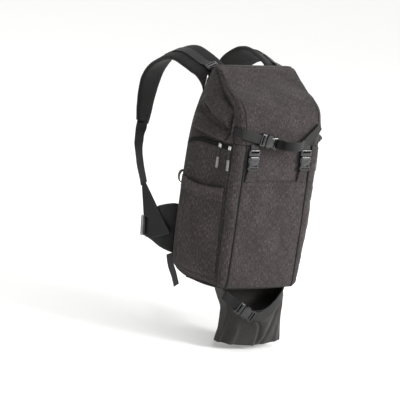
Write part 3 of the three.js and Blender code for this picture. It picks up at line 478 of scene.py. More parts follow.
def skin(s, z, grow=0.0):
    """A point on the left half of a section.

    s is 0 at the middle of the back, 1 and 2 at the ends of the back corner, 3 and 4 at the ends of the
    front corner, and 5 at the middle of the front.
    """
    s, z = np.broadcast_arrays(np.asarray(s, dtype=float), np.asarray(z, dtype=float))
    q = section(z, grow)
    start, end = q["rear"] - q["radius"], q["fore"] + q["reach"]
    half = q["front"] - q["strip"]
    t = s - np.clip(np.floor(s), 0, 4)
    bow = np.sin(np.pi * t)
    x = np.select(
        [s < 1, s < 2, s < 3, s < 4],
        [
            -(q["back"] - q["radius"]) * s,
            -(q["back"] - q["radius"] * (1 - t) ** 2),
            -(q["back"] + (q["front"] - q["back"]) * t + BULGE["side"] * bow),
            -(q["front"] - q["strip"] * t**2),
        ],
        -half * (1 - t),
    )
    y = np.select(
        [s < 1, s < 2, s < 3, s < 4],
        [
            q["rear"] + 0 * s,
            q["rear"] - q["radius"] * t**2,
            start + (end - start) * t,
            q["fore"] + q["reach"] * (1 - t) ** 2,
        ],
        q["fore"] - BULGE["front"] * np.sin(np.pi * t / 2),
    )
    return np.stack([x, y, z], axis=-1)


print("side at mid height", round(float(side_out(-70.0, 240.0)), 1), "mm out")

# %% [markdown]
# ## Mesh helpers
#
# Each panel is a grid of points. Its outer face is the grid pushed out along its own normals, less near its
# border, as sewn cloth is drawn in by its seam, and its inner face is the grid itself, so every panel is a
# closed sheet of real thickness. Its UV map holds lengths along the cloth.

# %% Grids, closed sheets and meshes
collection = bpy.context.scene.collection


def build_mesh(name, points, faces, material, uv=None, smooth=True):
    points = np.asarray(points, dtype=float)
    corners = points[[face[:3] for face in faces]]
    volume = np.einsum("ij,ij->i", corners[:, 0], np.cross(corners[:, 1], corners[:, 2])).sum()
    if volume < 0:
        faces = [face[::-1] for face in faces]
    mesh = bpy.data.meshes.new(name)
    mesh.from_pydata(to_row(points).tolist(), [], faces)
    if uv is not None:
        layer = mesh.uv_layers.new(name="cloth")
        index = np.empty(len(mesh.loops), dtype=np.int32)
        mesh.loops.foreach_get("vertex_index", index)
        layer.data.foreach_set("uv", (np.asarray(uv) * MM)[index].ravel())
    mesh.polygons.foreach_set("use_smooth", [smooth] * len(mesh.polygons))
    mesh.materials.append(material)
    piece = bpy.data.objects.new(name, mesh)
    collection.objects.link(piece)
    return piece


def grid_faces(rows, columns, start=0, ring=False):
    """Quads of a grid; ring closes each row on itself."""
    i, j = np.meshgrid(np.arange(rows - 1), np.arange(columns if ring else columns - 1), indexing="ij")
    k = (j + 1) % columns
    a = start + i * columns + j
    b = start + i * columns + k
    return np.stack([a, b, b + columns, a + columns], axis=-1).reshape(-1, 4).tolist()


def grid_lengths(grid):
    """Lengths along a grid's rows and up its columns, in mm."""
    across = np.zeros(grid.shape[:2])
    along = np.zeros(grid.shape[:2])
    across[:, 1:] = np.cumsum(np.linalg.norm(np.diff(grid, axis=1), axis=-1), axis=1)
    along[1:] = np.cumsum(np.linalg.norm(np.diff(grid, axis=0), axis=-1), axis=0)
    return across, along


def grid_normals(grid, inside):
    """Unit normals of a grid, pointing away from a point inside."""
    normal = np.cross(np.gradient(grid, axis=1), np.gradient(grid, axis=0))
    normal /= np.maximum(np.linalg.norm(normal, axis=-1, keepdims=True), 1e-9)
    sign = np.sign(np.sum(normal * (grid - inside)))
    return normal * sign


def closed_sheet(name, top, base, material, uv):
    """A sheet between two grids of the same shape, closed round its border."""
    rows, columns = top.shape[:2]
    count = rows * columns
    faces = grid_faces(rows, columns)
    faces += [[a + count, d + count, c + count, b + count] for a, b, c, d in grid_faces(rows, columns)]
    border = list(range(columns))
    border += [i * columns + columns - 1 for i in range(1, rows)]
    border += [(rows - 1) * columns + j for j in range(columns - 2, -1, -1)]
    border += [i * columns for i in range(rows - 2, 0, -1)]
    faces += [[b, a, a + count, b + count] for a, b in zip(border, border[1:] + border[:1])]
    points = np.concatenate([top.reshape(-1, 3), base.reshape(-1, 3)])
    return build_mesh(name, points, faces, material, np.concatenate([uv.reshape(-1, 2)] * 2))


INSIDE = np.array([0.0, -60.0, 230.0])  # a point in the middle of the pack


def panel(name, base, thickness, material, *, edge=2.5, relief=None, inside=INSIDE, puff=0.0):
    """A cloth panel on a grid of base points, drawn in at its border and raised by a relief."""
    outward = grid_normals(base, inside)
    across, along = grid_lengths(base)
    border = np.minimum(np.minimum(across, across[:, -1:] - across), np.minimum(along, along[-1:] - along))
    rise = thickness * (0.45 + 0.55 * (1 - np.exp(-border / edge)))
    rise = rise + puff * (1 - np.exp(-border / 14.0))
    if relief is not None:
        rise = rise + relief(base) * (1 - np.exp(-border / 5.0))
    top = base + outward * rise[..., None]
    return closed_sheet(name, top, base, material, np.stack([across, along], axis=-1))


def ripples(points, size, seed, stretch=(1.0, 1.0, 1.0)):
    """Gentle unevenness of cloth, from -1 to 1, about size mm across."""
    rng = random.Random(seed)
    total = 0.0
    for _ in range(9):
        way = np.array([rng.gauss(0, 1) / s for s in stretch])
        way *= 2 * math.pi / size / max(np.linalg.norm(way), 1e-6) * rng.uniform(0.6, 1.5)
        total = total + np.sin(np.asarray(points) @ way + rng.uniform(0, 2 * math.pi))
    return total / 5.0


def mirrored_grid(grid):
    copy = grid[:, ::-1].copy()
    copy[..., 0] *= -1
    return copy


def both_sides(name, make):
    """A left piece made by make(grid change), and its mirror image on the right."""
    return [make(f"{name}_left", lambda g: g), make(f"{name}_right", mirrored_grid)]


def dress(piece, slot, *nodes):
    """A piece stands for its CAD nodes and rides on the one body."""
    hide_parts(*nodes)
    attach(piece, "root")
    return piece


def trim(piece):
    """A piece that is added to the nodes."""
    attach(piece, "root")
    return piece


# %% [markdown]
# ## Body
#
# On the real pack the padded wall is foam between two cloths. Where no door or lid covers it, it shows as the
# soft upper side, the back edges and the base. The cloth above each side zip is slack, and hangs over the zip
# in a full fold with a crease above it, and beside the front strip it is drawn into a short deep tuck. The
# folds are a table of lines on the side: each pushes the surface out, or in where it is a crease.

# %% The padded body and its folds
# each row: rear y, its z, front y, its z, push in mm, half breadth above the line and below it
SIDE_FOLDS = [
    (-22, 350, -128, 336, 17.0, 12, 4),
    (-22, 386, -120, 354, -16.0, 5, 6),
    (-30, 408, -108, 382, 11.0, 12, 9),
    (-50, 440, -112, 410, -8.0, 6, 9),
    (-22, 373, -56, 367, 8.0, 8, 6),
    (-32, 404, -66, 374, -7.0, 4, 5),
]
SIDE_TUCK = {"y": -119.5, "low": 336.0, "high": 398.0, "deep": 24.0, "half": 3.2, "lip": 9.0}
ZIP_LEVEL = 321.0


def smooth_step(value, low, high):
    t = np.clip((value - low) / (high - low), 0, 1)
    return t * t * (3 - 2 * t)


def side_relief(y, z):
    """How far the slack cloth of a side stands out from the form."""
    total = np.zeros(np.broadcast(y, z).shape)
    for y0, z0, y1, z1, push, above, below in SIDE_FOLDS:
        t = np.clip((y0 - y) / (y0 - y1), 0, 1)
        off = z - (z0 + (z1 - z0) * t)
        half = np.where(off > 0, above, below)
        ends = smooth_step(-y, -y0 - 14, -y0 + 10) * smooth_step(y, y1 - 12, y1 + 14)
        total += push * np.exp(-((off / half) ** 2)) * ends
    middle = (SIDE_TUCK["low"] + SIDE_TUCK["high"]) / 2
    length = (SIDE_TUCK["high"] - SIDE_TUCK["low"]) / 2
    lens = np.sqrt(np.clip(1 - ((z - middle) / length) ** 2, 0, 1))
    off = (y - SIDE_TUCK["y"]) / SIDE_TUCK["half"]
    total -= SIDE_TUCK["deep"] * lens * np.exp(-(off**2))
    lips = np.exp(-((off + 2.4) ** 2) / 2) + 0.5 * np.exp(-((off - 3.0) ** 2) / 4)
    total += SIDE_TUCK["lip"] * lens * lips
    rear = smooth_step(-y, 6, 30)
    return total * rear * smooth_step(z, ZIP_LEVEL - 6, ZIP_LEVEL + 6) * smooth_step(-z, -462, -430)


BODY_ROWS = 168
# from one place to the next along the half section, with so many points: most where the side folds
BODY_STEPS = ((0, 1, 14), (1, 2, 8), (2, 2.72, 32), (2.72, 3, 36), (3, 4, 8), (4, 5, 14))
# rows are closest together in the ends' curves and in the folds: height in mm, rows for each mm
ROW_DENSITY = np.array([(0, 0.9), (24, 0.5), (40, 0.12), (310, 0.12), (325, 0.55), (450, 0.5), (479, 0.9)])


def body_stations():
    return np.concatenate([np.linspace(a, b, n, endpoint=False) for a, b, n in BODY_STEPS] + [[5.0]])


def body_levels(top):
    fine = np.linspace(0, top, 2000)
    count = np.cumsum(np.interp(fine, ROW_DENSITY[:, 0], ROW_DENSITY[:, 1]))
    return np.interp(np.linspace(count[0], count[-1], BODY_ROWS), count, fine)


def body_ring(z, grow):
    half = skin(body_stations(), z, grow)
    other = half[1:-1][::-1] * (-1, 1, 1)
    return np.concatenate([half, other])


def make_body():
    top = SECTIONS[-1, 0] * PACK["height"]
    levels = body_levels(top)
    grid = np.array([body_ring(z, 0.0) for z in levels])
    outward = np.cross(np.roll(grid, -1, axis=1) - np.roll(grid, 1, axis=1), np.gradient(grid, axis=0))
    outward /= np.maximum(np.linalg.norm(outward, axis=-1, keepdims=True), 1e-9)
    outward *= np.sign(np.sum(outward * (grid - INSIDE)))
    y, z = grid[..., 1], grid[..., 2]
    on_side = smooth_step(np.abs(grid[..., 0]), 60, 90)
    uneven = 0.9 * ripples(grid, 85, 3) + 0.5 * ripples(grid, 34, 4)
    quiet = smooth_step(z, 0, 30) * smooth_step(-z, -478, -440) * smooth_step(-y, 4, 26)
    push = side_relief(y, z) * on_side + uneven * quiet * smooth_step(z, ZIP_LEVEL, ZIP_LEVEL + 20)
    outer = grid + outward * push[..., None]
    inner = np.array([body_ring(z, -6.0) for z in np.clip(levels, 6, top - 8)])
    rings, count = BODY_ROWS, grid.shape[1]
    faces = grid_faces(rings, count, ring=True)
    offset = rings * count
    for a, b, c, d in grid_faces(rings, count, ring=True):
        faces.append([a + offset, d + offset, c + offset, b + offset])
    points = [outer.reshape(-1, 3), inner.reshape(-1, 3)]
    across = np.zeros((rings, count))
    across[:, 1:] = np.cumsum(np.linalg.norm(np.diff(grid, axis=1), axis=-1), axis=1)
    uv = np.stack([across, z], axis=-1).reshape(-1, 2)
    poles = []
    last = (rings - 1) * count
    caps = (
        (outer[0], 0, True),
        (outer[-1], last, False),
        (inner[0], offset, False),
        (inner[-1], offset + last, True),
    )
    for ring, start, flip in caps:
        pole = 2 * offset + len(poles)
        poles.append(ring.mean(axis=0))
        for j in range(count):
            pair = [start + j, start + (j + 1) % count]
            faces.append([pole, *(pair[::-1] if flip else pair)])
    points.append(np.array(poles))
    uvs = np.concatenate([uv, uv, np.zeros((4, 2))])
    return build_mesh("padded_body", np.concatenate(points), faces, heather, uvs)


body = dress(make_body(), "heather_cloth", "main_shell")
print("body", len(body.data.polygons), "faces")

# %% [markdown]
# ## Lid
#
# The lid is one long panel. It starts as a flap over the front of the body, turns back over the slope, and
# ends in the ridge, and its side seams run up the corners and draw together towards the top. It is a grid
# whose rows are evenly spaced along the slope and whose ends lie on the side seams. The flap's edge is turned
# up and stitched.

# %% The lid panel
LID_EDGE = 334.0
LID_SEAM = np.array(
    [
        (0.887, 0.700),
        (0.867, 0.755),
        (0.833, 0.798),
        (0.760, 0.848),
        (0.633, 0.875),
        (0.473, 0.902),
        (0.267, 0.946),
        (0.100, 0.985),
    ]
)
SEAM_GAP = 0.3
LID_THICK = 4.0
PANEL_THICK = 3.0


def lid_seam_y(z):
    return -PACK["depth"] * np.interp(np.asarray(z) / PACK["height"], LID_SEAM[:, 1], LID_SEAM[:, 0])


def station_of(y, z, grow=0.0):
    """The place along a left half section where the side passes y."""
    q = section(z, grow)
    start, end = q["rear"] - q["radius"], q["fore"] + q["reach"]
    return 2 + np.clip((start - y) / (start - end), 0.0, 1.0)


def lid_grid(rows, grow, low=LID_EDGE, high=476.0):
    fine = np.linspace(low, high, 400)
    front = section(fine)["fore"]
    length = np.concatenate([[0], np.cumsum(np.hypot(np.diff(front), np.diff(fine)))])
    levels = np.interp(np.linspace(0, length[-1], rows), length, fine)
    grid = []
    for z in levels:
        seam = float(station_of(lid_seam_y(z), z, grow))
        beside = np.linspace(seam, 3, 4, endpoint=False)
        round_corner = np.linspace(3, 4, 10, endpoint=False)
        stations = np.concatenate([beside, round_corner, np.linspace(4, 5, 28)])
        half = skin(stations, z, grow)
        grid.append(np.concatenate([half, half[:-1][::-1] * (-1, 1, 1)]))
    return np.array(grid)


def lid_relief(grid):
    x, z = grid[..., 0], grid[..., 2]
    soft = 1.8 * ripples(grid, 95, 11, (1.0, 1.0, 1.4)) + 0.7 * ripples(grid, 40, 12)
    dip = -2.4 * np.exp(-(((z - 345) / 9) ** 2)) * smooth_step(np.abs(x), 12, 40)
    crown = 2.2 * np.exp(-(((z - 398) / 22) ** 2)) * np.cos(np.clip(x / 100, -1, 1) * np.pi / 2)
    drag = np.exp(-(((z - 352 - (x + 104) * 0.75) / 6.0) ** 2)) * smooth_step(-x, 30, 90)
    drag = drag + np.exp(-(((z - 372 + (x - 104) * 0.60) / 6.0) ** 2)) * smooth_step(x, 30, 90)
    pull_in = -2.2 * np.exp(-(((np.abs(x) - 70) / 9.0) ** 2)) * np.exp(-(((z - 338) / 12.0) ** 2))
    return soft + dip * 0.5 + crown + 1.6 * drag + pull_in


under_lid = np.array([0, -40.0, 300.0])
lid = panel("lid_panel", lid_grid(96, SEAM_GAP), LID_THICK, heather, relief=lid_relief, inside=under_lid)
dress(lid, "heather_cloth", "lid")

# %% [markdown]
# ## Front strips and slip pocket
#
# A narrow strip turns each front corner between two piped seams, and a flat slip pocket lies between the
# strips. They are plain panels on the form, slightly puffed, because foam fills them. The pocket's mouth is
# turned and stitched, and hangs a little slack.

# %% Corner strips and front pocket
WELT_HALF = 86.0
SIDE_SEAM = 133.0
PANEL_FOOT = 8.0
FRONT_POCKET_TOP = 252.0


def strip_grid(low, high, rows=110):
    grid = []
    for z in np.linspace(low, high, rows):
        q = section(z, SEAM_GAP)
        seam = float(station_of(-SIDE_SEAM, z, SEAM_GAP))
        half = q["front"] - q["strip"]
        welt = WELT_HALF + SEAM_GAP
        if welt >= half:
            end = 3 + math.sqrt(max(q["front"] - welt, 0) / q["strip"])
        else:
            end = 4 + (1 - welt / half)
        stations = np.concatenate([np.linspace(seam, 3, 3, endpoint=False), np.linspace(3, end, 17)])
        grid.append(skin(stations, z, SEAM_GAP))
    return np.array(grid)


def strip_relief(grid):
    pucker = 0.35 * np.sin(grid[..., 2] / 2.3) * np.exp(-(((np.abs(grid[..., 0]) - 100) / 6.0) ** 2))
    return 0.9 * ripples(grid, 60, 21) + 0.6 * ripples(grid, 24, 22) + pucker


def make_strip(name, turn):
    grid = turn(strip_grid(PANEL_FOOT, LID_EDGE - 3))
    return panel(name, grid, PANEL_THICK, heather, edge=2.0, relief=strip_relief, puff=1.2)


strips = both_sides("front_corner_strip", make_strip)
for strip, node in zip(strips, ("corner_strip_left", "corner_strip_right")):
    dress(strip, "heather_cloth", node)


def front_grid(low, high, half, rows, columns, grow=SEAM_GAP):
    x, z = np.meshgrid(np.linspace(-half, half, columns), np.linspace(low, high, rows))
    return np.stack([x, front_out(x, z, grow), z], axis=-1)


def pocket_relief(grid):
    x, z = grid[..., 0], grid[..., 2]
    slack = 1.5 * smooth_step(z, FRONT_POCKET_TOP - 30, FRONT_POCKET_TOP) * np.abs(np.sin(x / 31 + 0.4))
    hem = -0.8 * np.exp(-(((z - (FRONT_POCKET_TOP - 14)) / 1.6) ** 2))
    return slack + hem + 1.3 * ripples(grid, 75, 31, (1, 1, 1.8)) + 0.7 * ripples(grid, 28, 32)


pocket_grid = front_grid(PANEL_FOOT, FRONT_POCKET_TOP, WELT_HALF - SEAM_GAP, 110, 76)
front_pocket = panel("front_slip_pocket", pocket_grid, 3.6, heather, relief=pocket_relief)
dress(front_pocket, "heather_cloth", "front_pocket")

# %% [markdown]
# ## Side doors, zips and pockets
#
# Each side has a door that opens on a zip along its top, and a stretch pocket sewn on the door. The zip's
# line is nearly level and falls away at the back. The pocket is a real pocket: a sheet sewn down along three
# edges, slack at the mouth, with a turned hem and a soft pleat down its rear edge, where the pack turns to
# the back.

# %% Side doors
DOOR = {"rear": 14.0, "foot": 26.0, "crown": 2.0, "crown_share": 0.6, "drop": 16.0}
ZIP_HALF = 3.0


def zip_line(share):
    share = np.asarray(share, dtype=float)
    y = -SIDE_SEAM + (SIDE_SEAM - DOOR["rear"]) * share
    fall = np.clip((share - DOOR["crown_share"]) / (1 - DOOR["crown_share"]), 0, 1)
    rise = np.sin(np.pi / 2 * np.minimum(1, share / DOOR["crown_share"]))
    return y, ZIP_LEVEL + DOOR["crown"] * rise - DOOR["drop"] * fall**2.5


def side_grid(low_of, high_of, front, rear, grow, rows, columns):
    """A grid on the left side, rows upwards and columns from rear to front."""
    y = np.linspace(-rear, -front, columns)
    share = (y + SIDE_SEAM) / (SIDE_SEAM - DOOR["rear"])
    low, high = low_of(share), high_of(share)
    t = np.linspace(0, 1, rows)[:, None]
    z = low + (high - low) * t
    y = np.broadcast_to(y, z.shape)
    return np.stack([-side_out(y, z, grow), y, z], axis=-1)


def door_foot(share):
    return PANEL_FOOT + (DOOR["foot"] - PANEL_FOOT) * share


def door_top(share):
    return zip_line(share)[1] - ZIP_HALF - SEAM_GAP


def door_relief(grid):
    y, z = grid[..., 1], grid[..., 2]
    fall = 2.6 * np.exp(-(((y + 92 - (z - 240) * 0.35) / 9.0) ** 2))
    soft = ripples(grid, 70, 41) + 0.7 * ripples(grid, 30, 42)
    return soft + fall * smooth_step(z, 230, 260)


def make_door(name, turn):
    grid = side_grid(door_foot, door_top, SIDE_SEAM, DOOR["rear"], SEAM_GAP, 100, 44)
    return panel(name, turn(grid), PANEL_THICK, heather, relief=door_relief)


for door, node in zip(both_sides("side_door_panel", make_door), ("side_door_left", "side_door_right")):
    dress(door, "heather_cloth", node)

# %% Side pockets
SIDE_POCKET = {
    "top": 232.0,
    "rise": 2.0,
    "slack": 14.0,
    "foot": 32.0,
    "rear": 18.0,
    "thick": 2.0,
    "hem": 30.0,
}
POCKET_BASE = SEAM_GAP + PANEL_THICK + SEAM_GAP + 0.9


def pocket_sheet(rows=110, columns=70):
    u = np.linspace(0, 1, columns)[None, :]  # from the rear edge to the front one
    v = np.linspace(0, 1, rows)[:, None]
    front = SIDE_SEAM - 3
    y = -SIDE_POCKET["rear"] - (front - SIDE_POCKET["rear"]) * u
    foot = SIDE_POCKET["foot"] - 6 * u
    mouth = SIDE_POCKET["top"] + SIDE_POCKET["rise"] * (1 - u) - 6 * np.sin(np.pi * u)
    z = foot + (mouth - foot) * v
    y = np.broadcast_to(y, z.shape)
    slack = SIDE_POCKET["slack"] * np.sin(np.pi * u) ** 0.8
    slack = slack * np.minimum(1, 0.35 + v) * smooth_step(v, 0, 0.06)
    grid = np.stack([-side_out(y, z, POCKET_BASE), y, z], axis=-1)
    outward = grid_normals(grid, INSIDE)
    drag = np.exp(-(((u - 0.62 + 0.30 * v) / 0.06) ** 2))
    drag = drag * smooth_step(v, 0.1, 0.5) * smooth_step(-v, -0.97, -0.7)
    drag = drag + 0.8 * np.exp(-(((u - 0.86 + 0.22 * v) / 0.05) ** 2)) * smooth_step(v, 0.25, 0.6)
    pleat = -7.0 * smooth_step(-u, -0.17, -0.13) * smooth_step(v, 0.02, 0.25)
    lip = 3.0 * np.exp(-(((u - 0.185) / 0.04) ** 2)) * smooth_step(v, 0.02, 0.3)
    soft = 1.6 * ripples(grid, 80, 51) + 0.9 * ripples(grid, 34, 52, (1, 1, 1.6))
    inward = np.sin(np.pi * u) ** 0.5
    full = 6.0 * np.sin(np.pi * np.clip(u * 1.1, 0, 1)) * np.sin(np.pi * np.clip(v * 1.15, 0, 1)) ** 0.7
    return grid, outward, slack * 0.62 + full + 1.8 * drag + (pleat + lip) * inward + soft * inward


hem_lines = []  # filled by the pockets, for their stitches


def make_side_pocket(name, turn):
    grid, outward, rise = pocket_sheet()
    rise = np.maximum(rise, 0.0)
    across, along = grid_lengths(grid)
    hem = smooth_step(along, along[-1:] - SIDE_POCKET["hem"] - 0.6, along[-1:] - SIDE_POCKET["hem"] + 0.6)
    base = grid + outward * rise[..., None]
    stitch = -1.0 * np.exp(-(((along - along[-1:] + SIDE_POCKET["hem"] - 2.5) / 1.2) ** 2))
    top = base + outward * (SIDE_POCKET["thick"] + 1.1 * hem + stitch)[..., None]
    uv = np.stack([across, along], axis=-1)
    piece = closed_sheet(name, turn(top), turn(base), heather, turn_uv(uv, turn))
    # the hem rows take the lighter cloth, a painted highlight on the hem band
    piece.data.materials.append(hem_highlight_cloth)
    rows, columns = along.shape
    hemmed = (along > along[-1:] - SIDE_POCKET["hem"])[:-1].mean(axis=1) > 0.5
    kinds = np.zeros(len(piece.data.polygons), dtype=np.int32)
    kinds[: (rows - 1) * (columns - 1)] = np.repeat(hemmed, columns - 1)
    piece.data.polygons.foreach_set("material_index", kinds)
    seam_row = int(np.argmax(hemmed))
    hem_lines.append(turn(top + outward * 0.2)[seam_row, 3:-3])
    hem_lines.append(turn(top + outward * 0.2)[seam_row + 4, 3:-3])
    return piece


def turn_uv(uv, turn):
    return uv if turn(np.ones((1, 1, 3)))[0, 0, 0] > 0 else uv[:, ::-1]


side_pockets = both_sides("side_stretch_pocket", make_side_pocket)
for side, pocket in zip(("left", "right"), side_pockets):
    dress(pocket, "heather_cloth", f"side_pocket_{side}")

# %% [markdown]
# ## Geometry Nodes: piping, stitches and zip teeth
#
# What follows a seam is made by node trees from a curve along it. Piping is a thin round tube; stitches and
# zip teeth are small instances set along the curve and realized. Each tree's inputs are named, and each piece
# is turned into a plain mesh at the end.

# %% Node trees that follow a seam


def new_tree(name, inputs):
    tree = bpy.data.node_groups.new(name, "GeometryNodeTree")
    tree.interface.new_socket("Geometry", in_out="INPUT", socket_type="NodeSocketGeometry")
    for label, (kind, value) in inputs.items():
        socket = tree.interface.new_socket(label, in_out="INPUT", socket_type=kind)
        if value is not None:
            socket.default_value = value
    tree.interface.new_socket("Geometry", in_out="OUTPUT", socket_type="NodeSocketGeometry")
    return tree, tree.nodes.new("NodeGroupInput"), tree.nodes.new("NodeGroupOutput")


def tube_tree():
    inputs = {
        "Radius": ("NodeSocketFloat", 0.0012),
        "Step": ("NodeSocketFloat", 0.003),
        "Material": ("NodeSocketMaterial", None),
    }
    tree, given, result = new_tree("piping_tube", inputs)
    even = add_node(
        tree,
        "GeometryNodeResampleCurve",
        {"mode": "LENGTH"},
        Curve=given.outputs["Geometry"],
        Length=given.outputs["Step"],
    )
    ring = add_node(tree, "GeometryNodeCurvePrimitiveCircle", Resolution=8, Radius=given.outputs["Radius"])
    tube = add_node(
        tree, "GeometryNodeCurveToMesh", Curve=even.outputs[0], _1=ring.outputs[0], Fill_Caps=True
    )
    painted = add_node(
        tree, "GeometryNodeSetMaterial", Geometry=tube.outputs[0], Material=given.outputs["Material"]
    )
    tree.links.new(painted.outputs[0], result.inputs[0])
    return tree


def stitch_tree():
    inputs = {
        "Pitch": ("NodeSocketFloat", 0.0036),
        "Length": ("NodeSocketFloat", 0.0024),
        "Width": ("NodeSocketFloat", 0.0007),
        "Height": ("NodeSocketFloat", 0.0006),
        "Material": ("NodeSocketMaterial", None),
    }
    tree, given, result = new_tree("stitches_on_a_seam", inputs)
    points = add_node(
        tree,
        "GeometryNodeCurveToPoints",
        {"mode": "LENGTH"},
        Curve=given.outputs["Geometry"],
        Length=given.outputs["Pitch"],
    )
    size = add_node(
        tree,
        "ShaderNodeCombineXYZ",
        X=given.outputs["Width"],
        Y=given.outputs["Height"],
        Z=given.outputs["Length"],
    )
    stitch = add_node(tree, "GeometryNodeMeshCube", Size=size.outputs[0])
    placed = add_node(
        tree,
        "GeometryNodeInstanceOnPoints",
        Points=points.outputs[0],
        Instance=stitch.outputs[0],
        Rotation=points.outputs["Rotation"],
    )
    real = add_node(tree, "GeometryNodeRealizeInstances", Geometry=placed.outputs[0])
    painted = add_node(
        tree, "GeometryNodeSetMaterial", Geometry=real.outputs[0], Material=given.outputs["Material"]
    )
    tree.links.new(painted.outputs[0], result.inputs[0])
    return tree


TUBE = tube_tree()
STITCHES = stitch_tree()


def along_line(name, tree, lines, material, values):
    """A mesh made by a tree along one line or several, in mm."""
    data = bpy.data.curves.new(name, "CURVE")
    data.dimensions = "3D"
    for line in lines:
        spline = data.splines.new("POLY")
        spline.points.add(len(line) - 1)
        for point, at in zip(spline.points, to_row(line)):
            point.co = (*at, 1.0)
    carrier = bpy.data.objects.new(name + "_line", data)
    collection.objects.link(carrier)
    modifier = carrier.modifiers.new("along", "NODES")
    modifier.node_group = tree
    sockets = {item.name: item.identifier for item in tree.interface.items_tree if item.in_out == "INPUT"}
    for label, value in {**values, "Material": material}.items():
        modifier[sockets[label]] = value
    bpy.context.view_layer.update()
    evaluated = carrier.evaluated_get(bpy.context.evaluated_depsgraph_get())
    mesh = bpy.data.meshes.new_from_object(evaluated)
    bpy.data.objects.remove(carrier)
    mesh.name = name
    for layer in list(mesh.uv_layers):
        mesh.uv_layers.remove(layer)
    layer = mesh.uv_layers.new(name="cloth")
    index = np.empty(len(mesh.loops), dtype=np.int32)
    mesh.loops.foreach_get("vertex_index", index)
    places = np.empty(len(mesh.vertices) * 3)
    mesh.vertices.foreach_get("co", places)
    places = places.reshape(-1, 3)
    uv = np.stack([places[:, 0] + places[:, 1], places[:, 2]], axis=-1)
    layer.data.foreach_set("uv", uv[index].ravel())
    mesh.materials.clear()
    mesh.materials.append(material)
    mesh.polygons.foreach_set("use_smooth", [tree == TUBE] * len(mesh.polygons))
    piece = bpy.data.objects.new(name, mesh)
    collection.objects.link(piece)
    return piece


def piping(name, lines, radius=1.3):
    sizes = {"Radius": radius * MM, "Step": 3.0 * MM}
    return trim(along_line(name, TUBE, lines, binding, sizes))


def stitches(name, lines, length=2.4, pitch=3.6):
    values = {"Length": length * MM, "Pitch": pitch * MM}
    return trim(along_line(name, STITCHES, lines, thread, values))


def mirrored_line(line):
    return np.asarray(line) * (-1, 1, 1)


def on_side(ys, zs, lift):
    ys, zs = np.broadcast_arrays(np.asarray(ys, dtype=float), np.asarray(zs, dtype=float))
    out = side_out(ys, zs, lift) + side_relief(ys, zs)
    return np.stack([-out, ys, zs], axis=-1)


def on_front(xs, zs, lift):
    xs, zs = np.broadcast_arrays(np.asarray(xs, dtype=float), np.asarray(zs, dtype=float))
    return np.stack([xs, front_out(xs, zs, lift), zs], axis=-1)


def smooth_rows(rows, count):
    """Both columns of a table, smoothed over its rows."""
    place = np.linspace(0, len(rows) - 1, count)
    return [smooth_curve(np.arange(len(rows), dtype=float), rows[:, i])(place) for i in (0, 1)]


# %% Piping on the body's seams
levels = np.linspace(PANEL_FOOT, LID_EDGE - 2, 90)
side_seam_line = np.array([skin(float(station_of(-SIDE_SEAM, z)) , z, 2.6) for z in levels])
welt_line = on_front(-WELT_HALF, levels, 3.2)
seam_levels = np.linspace(LID_EDGE + 1, 474, 70)
lid_seam_line = np.array([skin(float(station_of(lid_seam_y(z), z)) , z, 2.8) for z in seam_levels])
both = lambda line: [line, mirrored_line(line)]
piping("side_seam_piping", both(side_seam_line), 1.5)
piping("front_seam_piping", both(welt_line), 1.7)
piping("lid_seam_piping", both(lid_seam_line), 0.9)
# the lid's gusset seam, from the ridge's corner to the flap: across and up
LID_GUSSET = np.array(
    [
        (-98.0, 474.0),
        (-99.0, 456.0),
        (-98.0, 440.0),
        (-96.5, 426.0),
        (-95.5, 416.0),
        (-95.5, 398.0),
        (-93.0, 372.0),
        (-88.0, 336.0),
    ]
)
gusset_x, gusset_z = smooth_rows(LID_GUSSET, 70)
gusset_line = on_front(gusset_x, gusset_z, SEAM_GAP)
gusset_line = on_front(gusset_x, gusset_z, SEAM_GAP + LID_THICK + lid_relief(gusset_line))
piping("lid_gusset_seam", both(gusset_line), 0.7)

foot_ring = np.array([skin(s, PANEL_FOOT - 1.5, 1.6) for s in np.linspace(2.05, 5, 60)])
piping("base_seam_piping", [np.concatenate([foot_ring, mirrored_line(foot_ring[:-1][::-1])])], 1.5)
back_edge = np.array([skin(1.35, z, 0.9) for z in np.linspace(24, 470, 90)])
piping("back_edge_piping", both(back_edge), 1.7)

# %% Stitches on hems
hem_line = on_front(np.linspace(-82, 82, 80), FRONT_POCKET_TOP - 14, 3.9)
flap_stations = np.linspace(float(station_of(lid_seam_y(LID_EDGE + 7), LID_EDGE + 7)) + 0.05, 5, 60)
flap_line = np.array([skin(s, LID_EDGE + 7, 4.3) for s in flap_stations])
flap_line = np.concatenate([flap_line, mirrored_line(flap_line[:-1][::-1])])
stitches("hem_stitches", [hem_line, flap_line, *hem_lines])

# %% [markdown]
# ## Side zips
#
# Each side zip is a coil between two tapes, under a thin cloth lip. The tapes lie on the form; the coil is a
# row of small teeth made by the stitch tree, set across the line.

# %% Zips
ZIP_SHARES = np.linspace(0.0, 1.0, 60)


def zip_grid(low, high, grow, rows=4):
    y, z = zip_line(ZIP_SHARES)
    levels = [z + off for off in np.linspace(low, high, rows)]
    return np.array([np.stack([-side_out(y, level, grow), y, level], axis=-1) for level in levels])


def make_zip(name, turn):
    return panel(name, turn(zip_grid(-ZIP_HALF, ZIP_HALF, SEAM_GAP)), 1.6, black_webbing, edge=0.6)


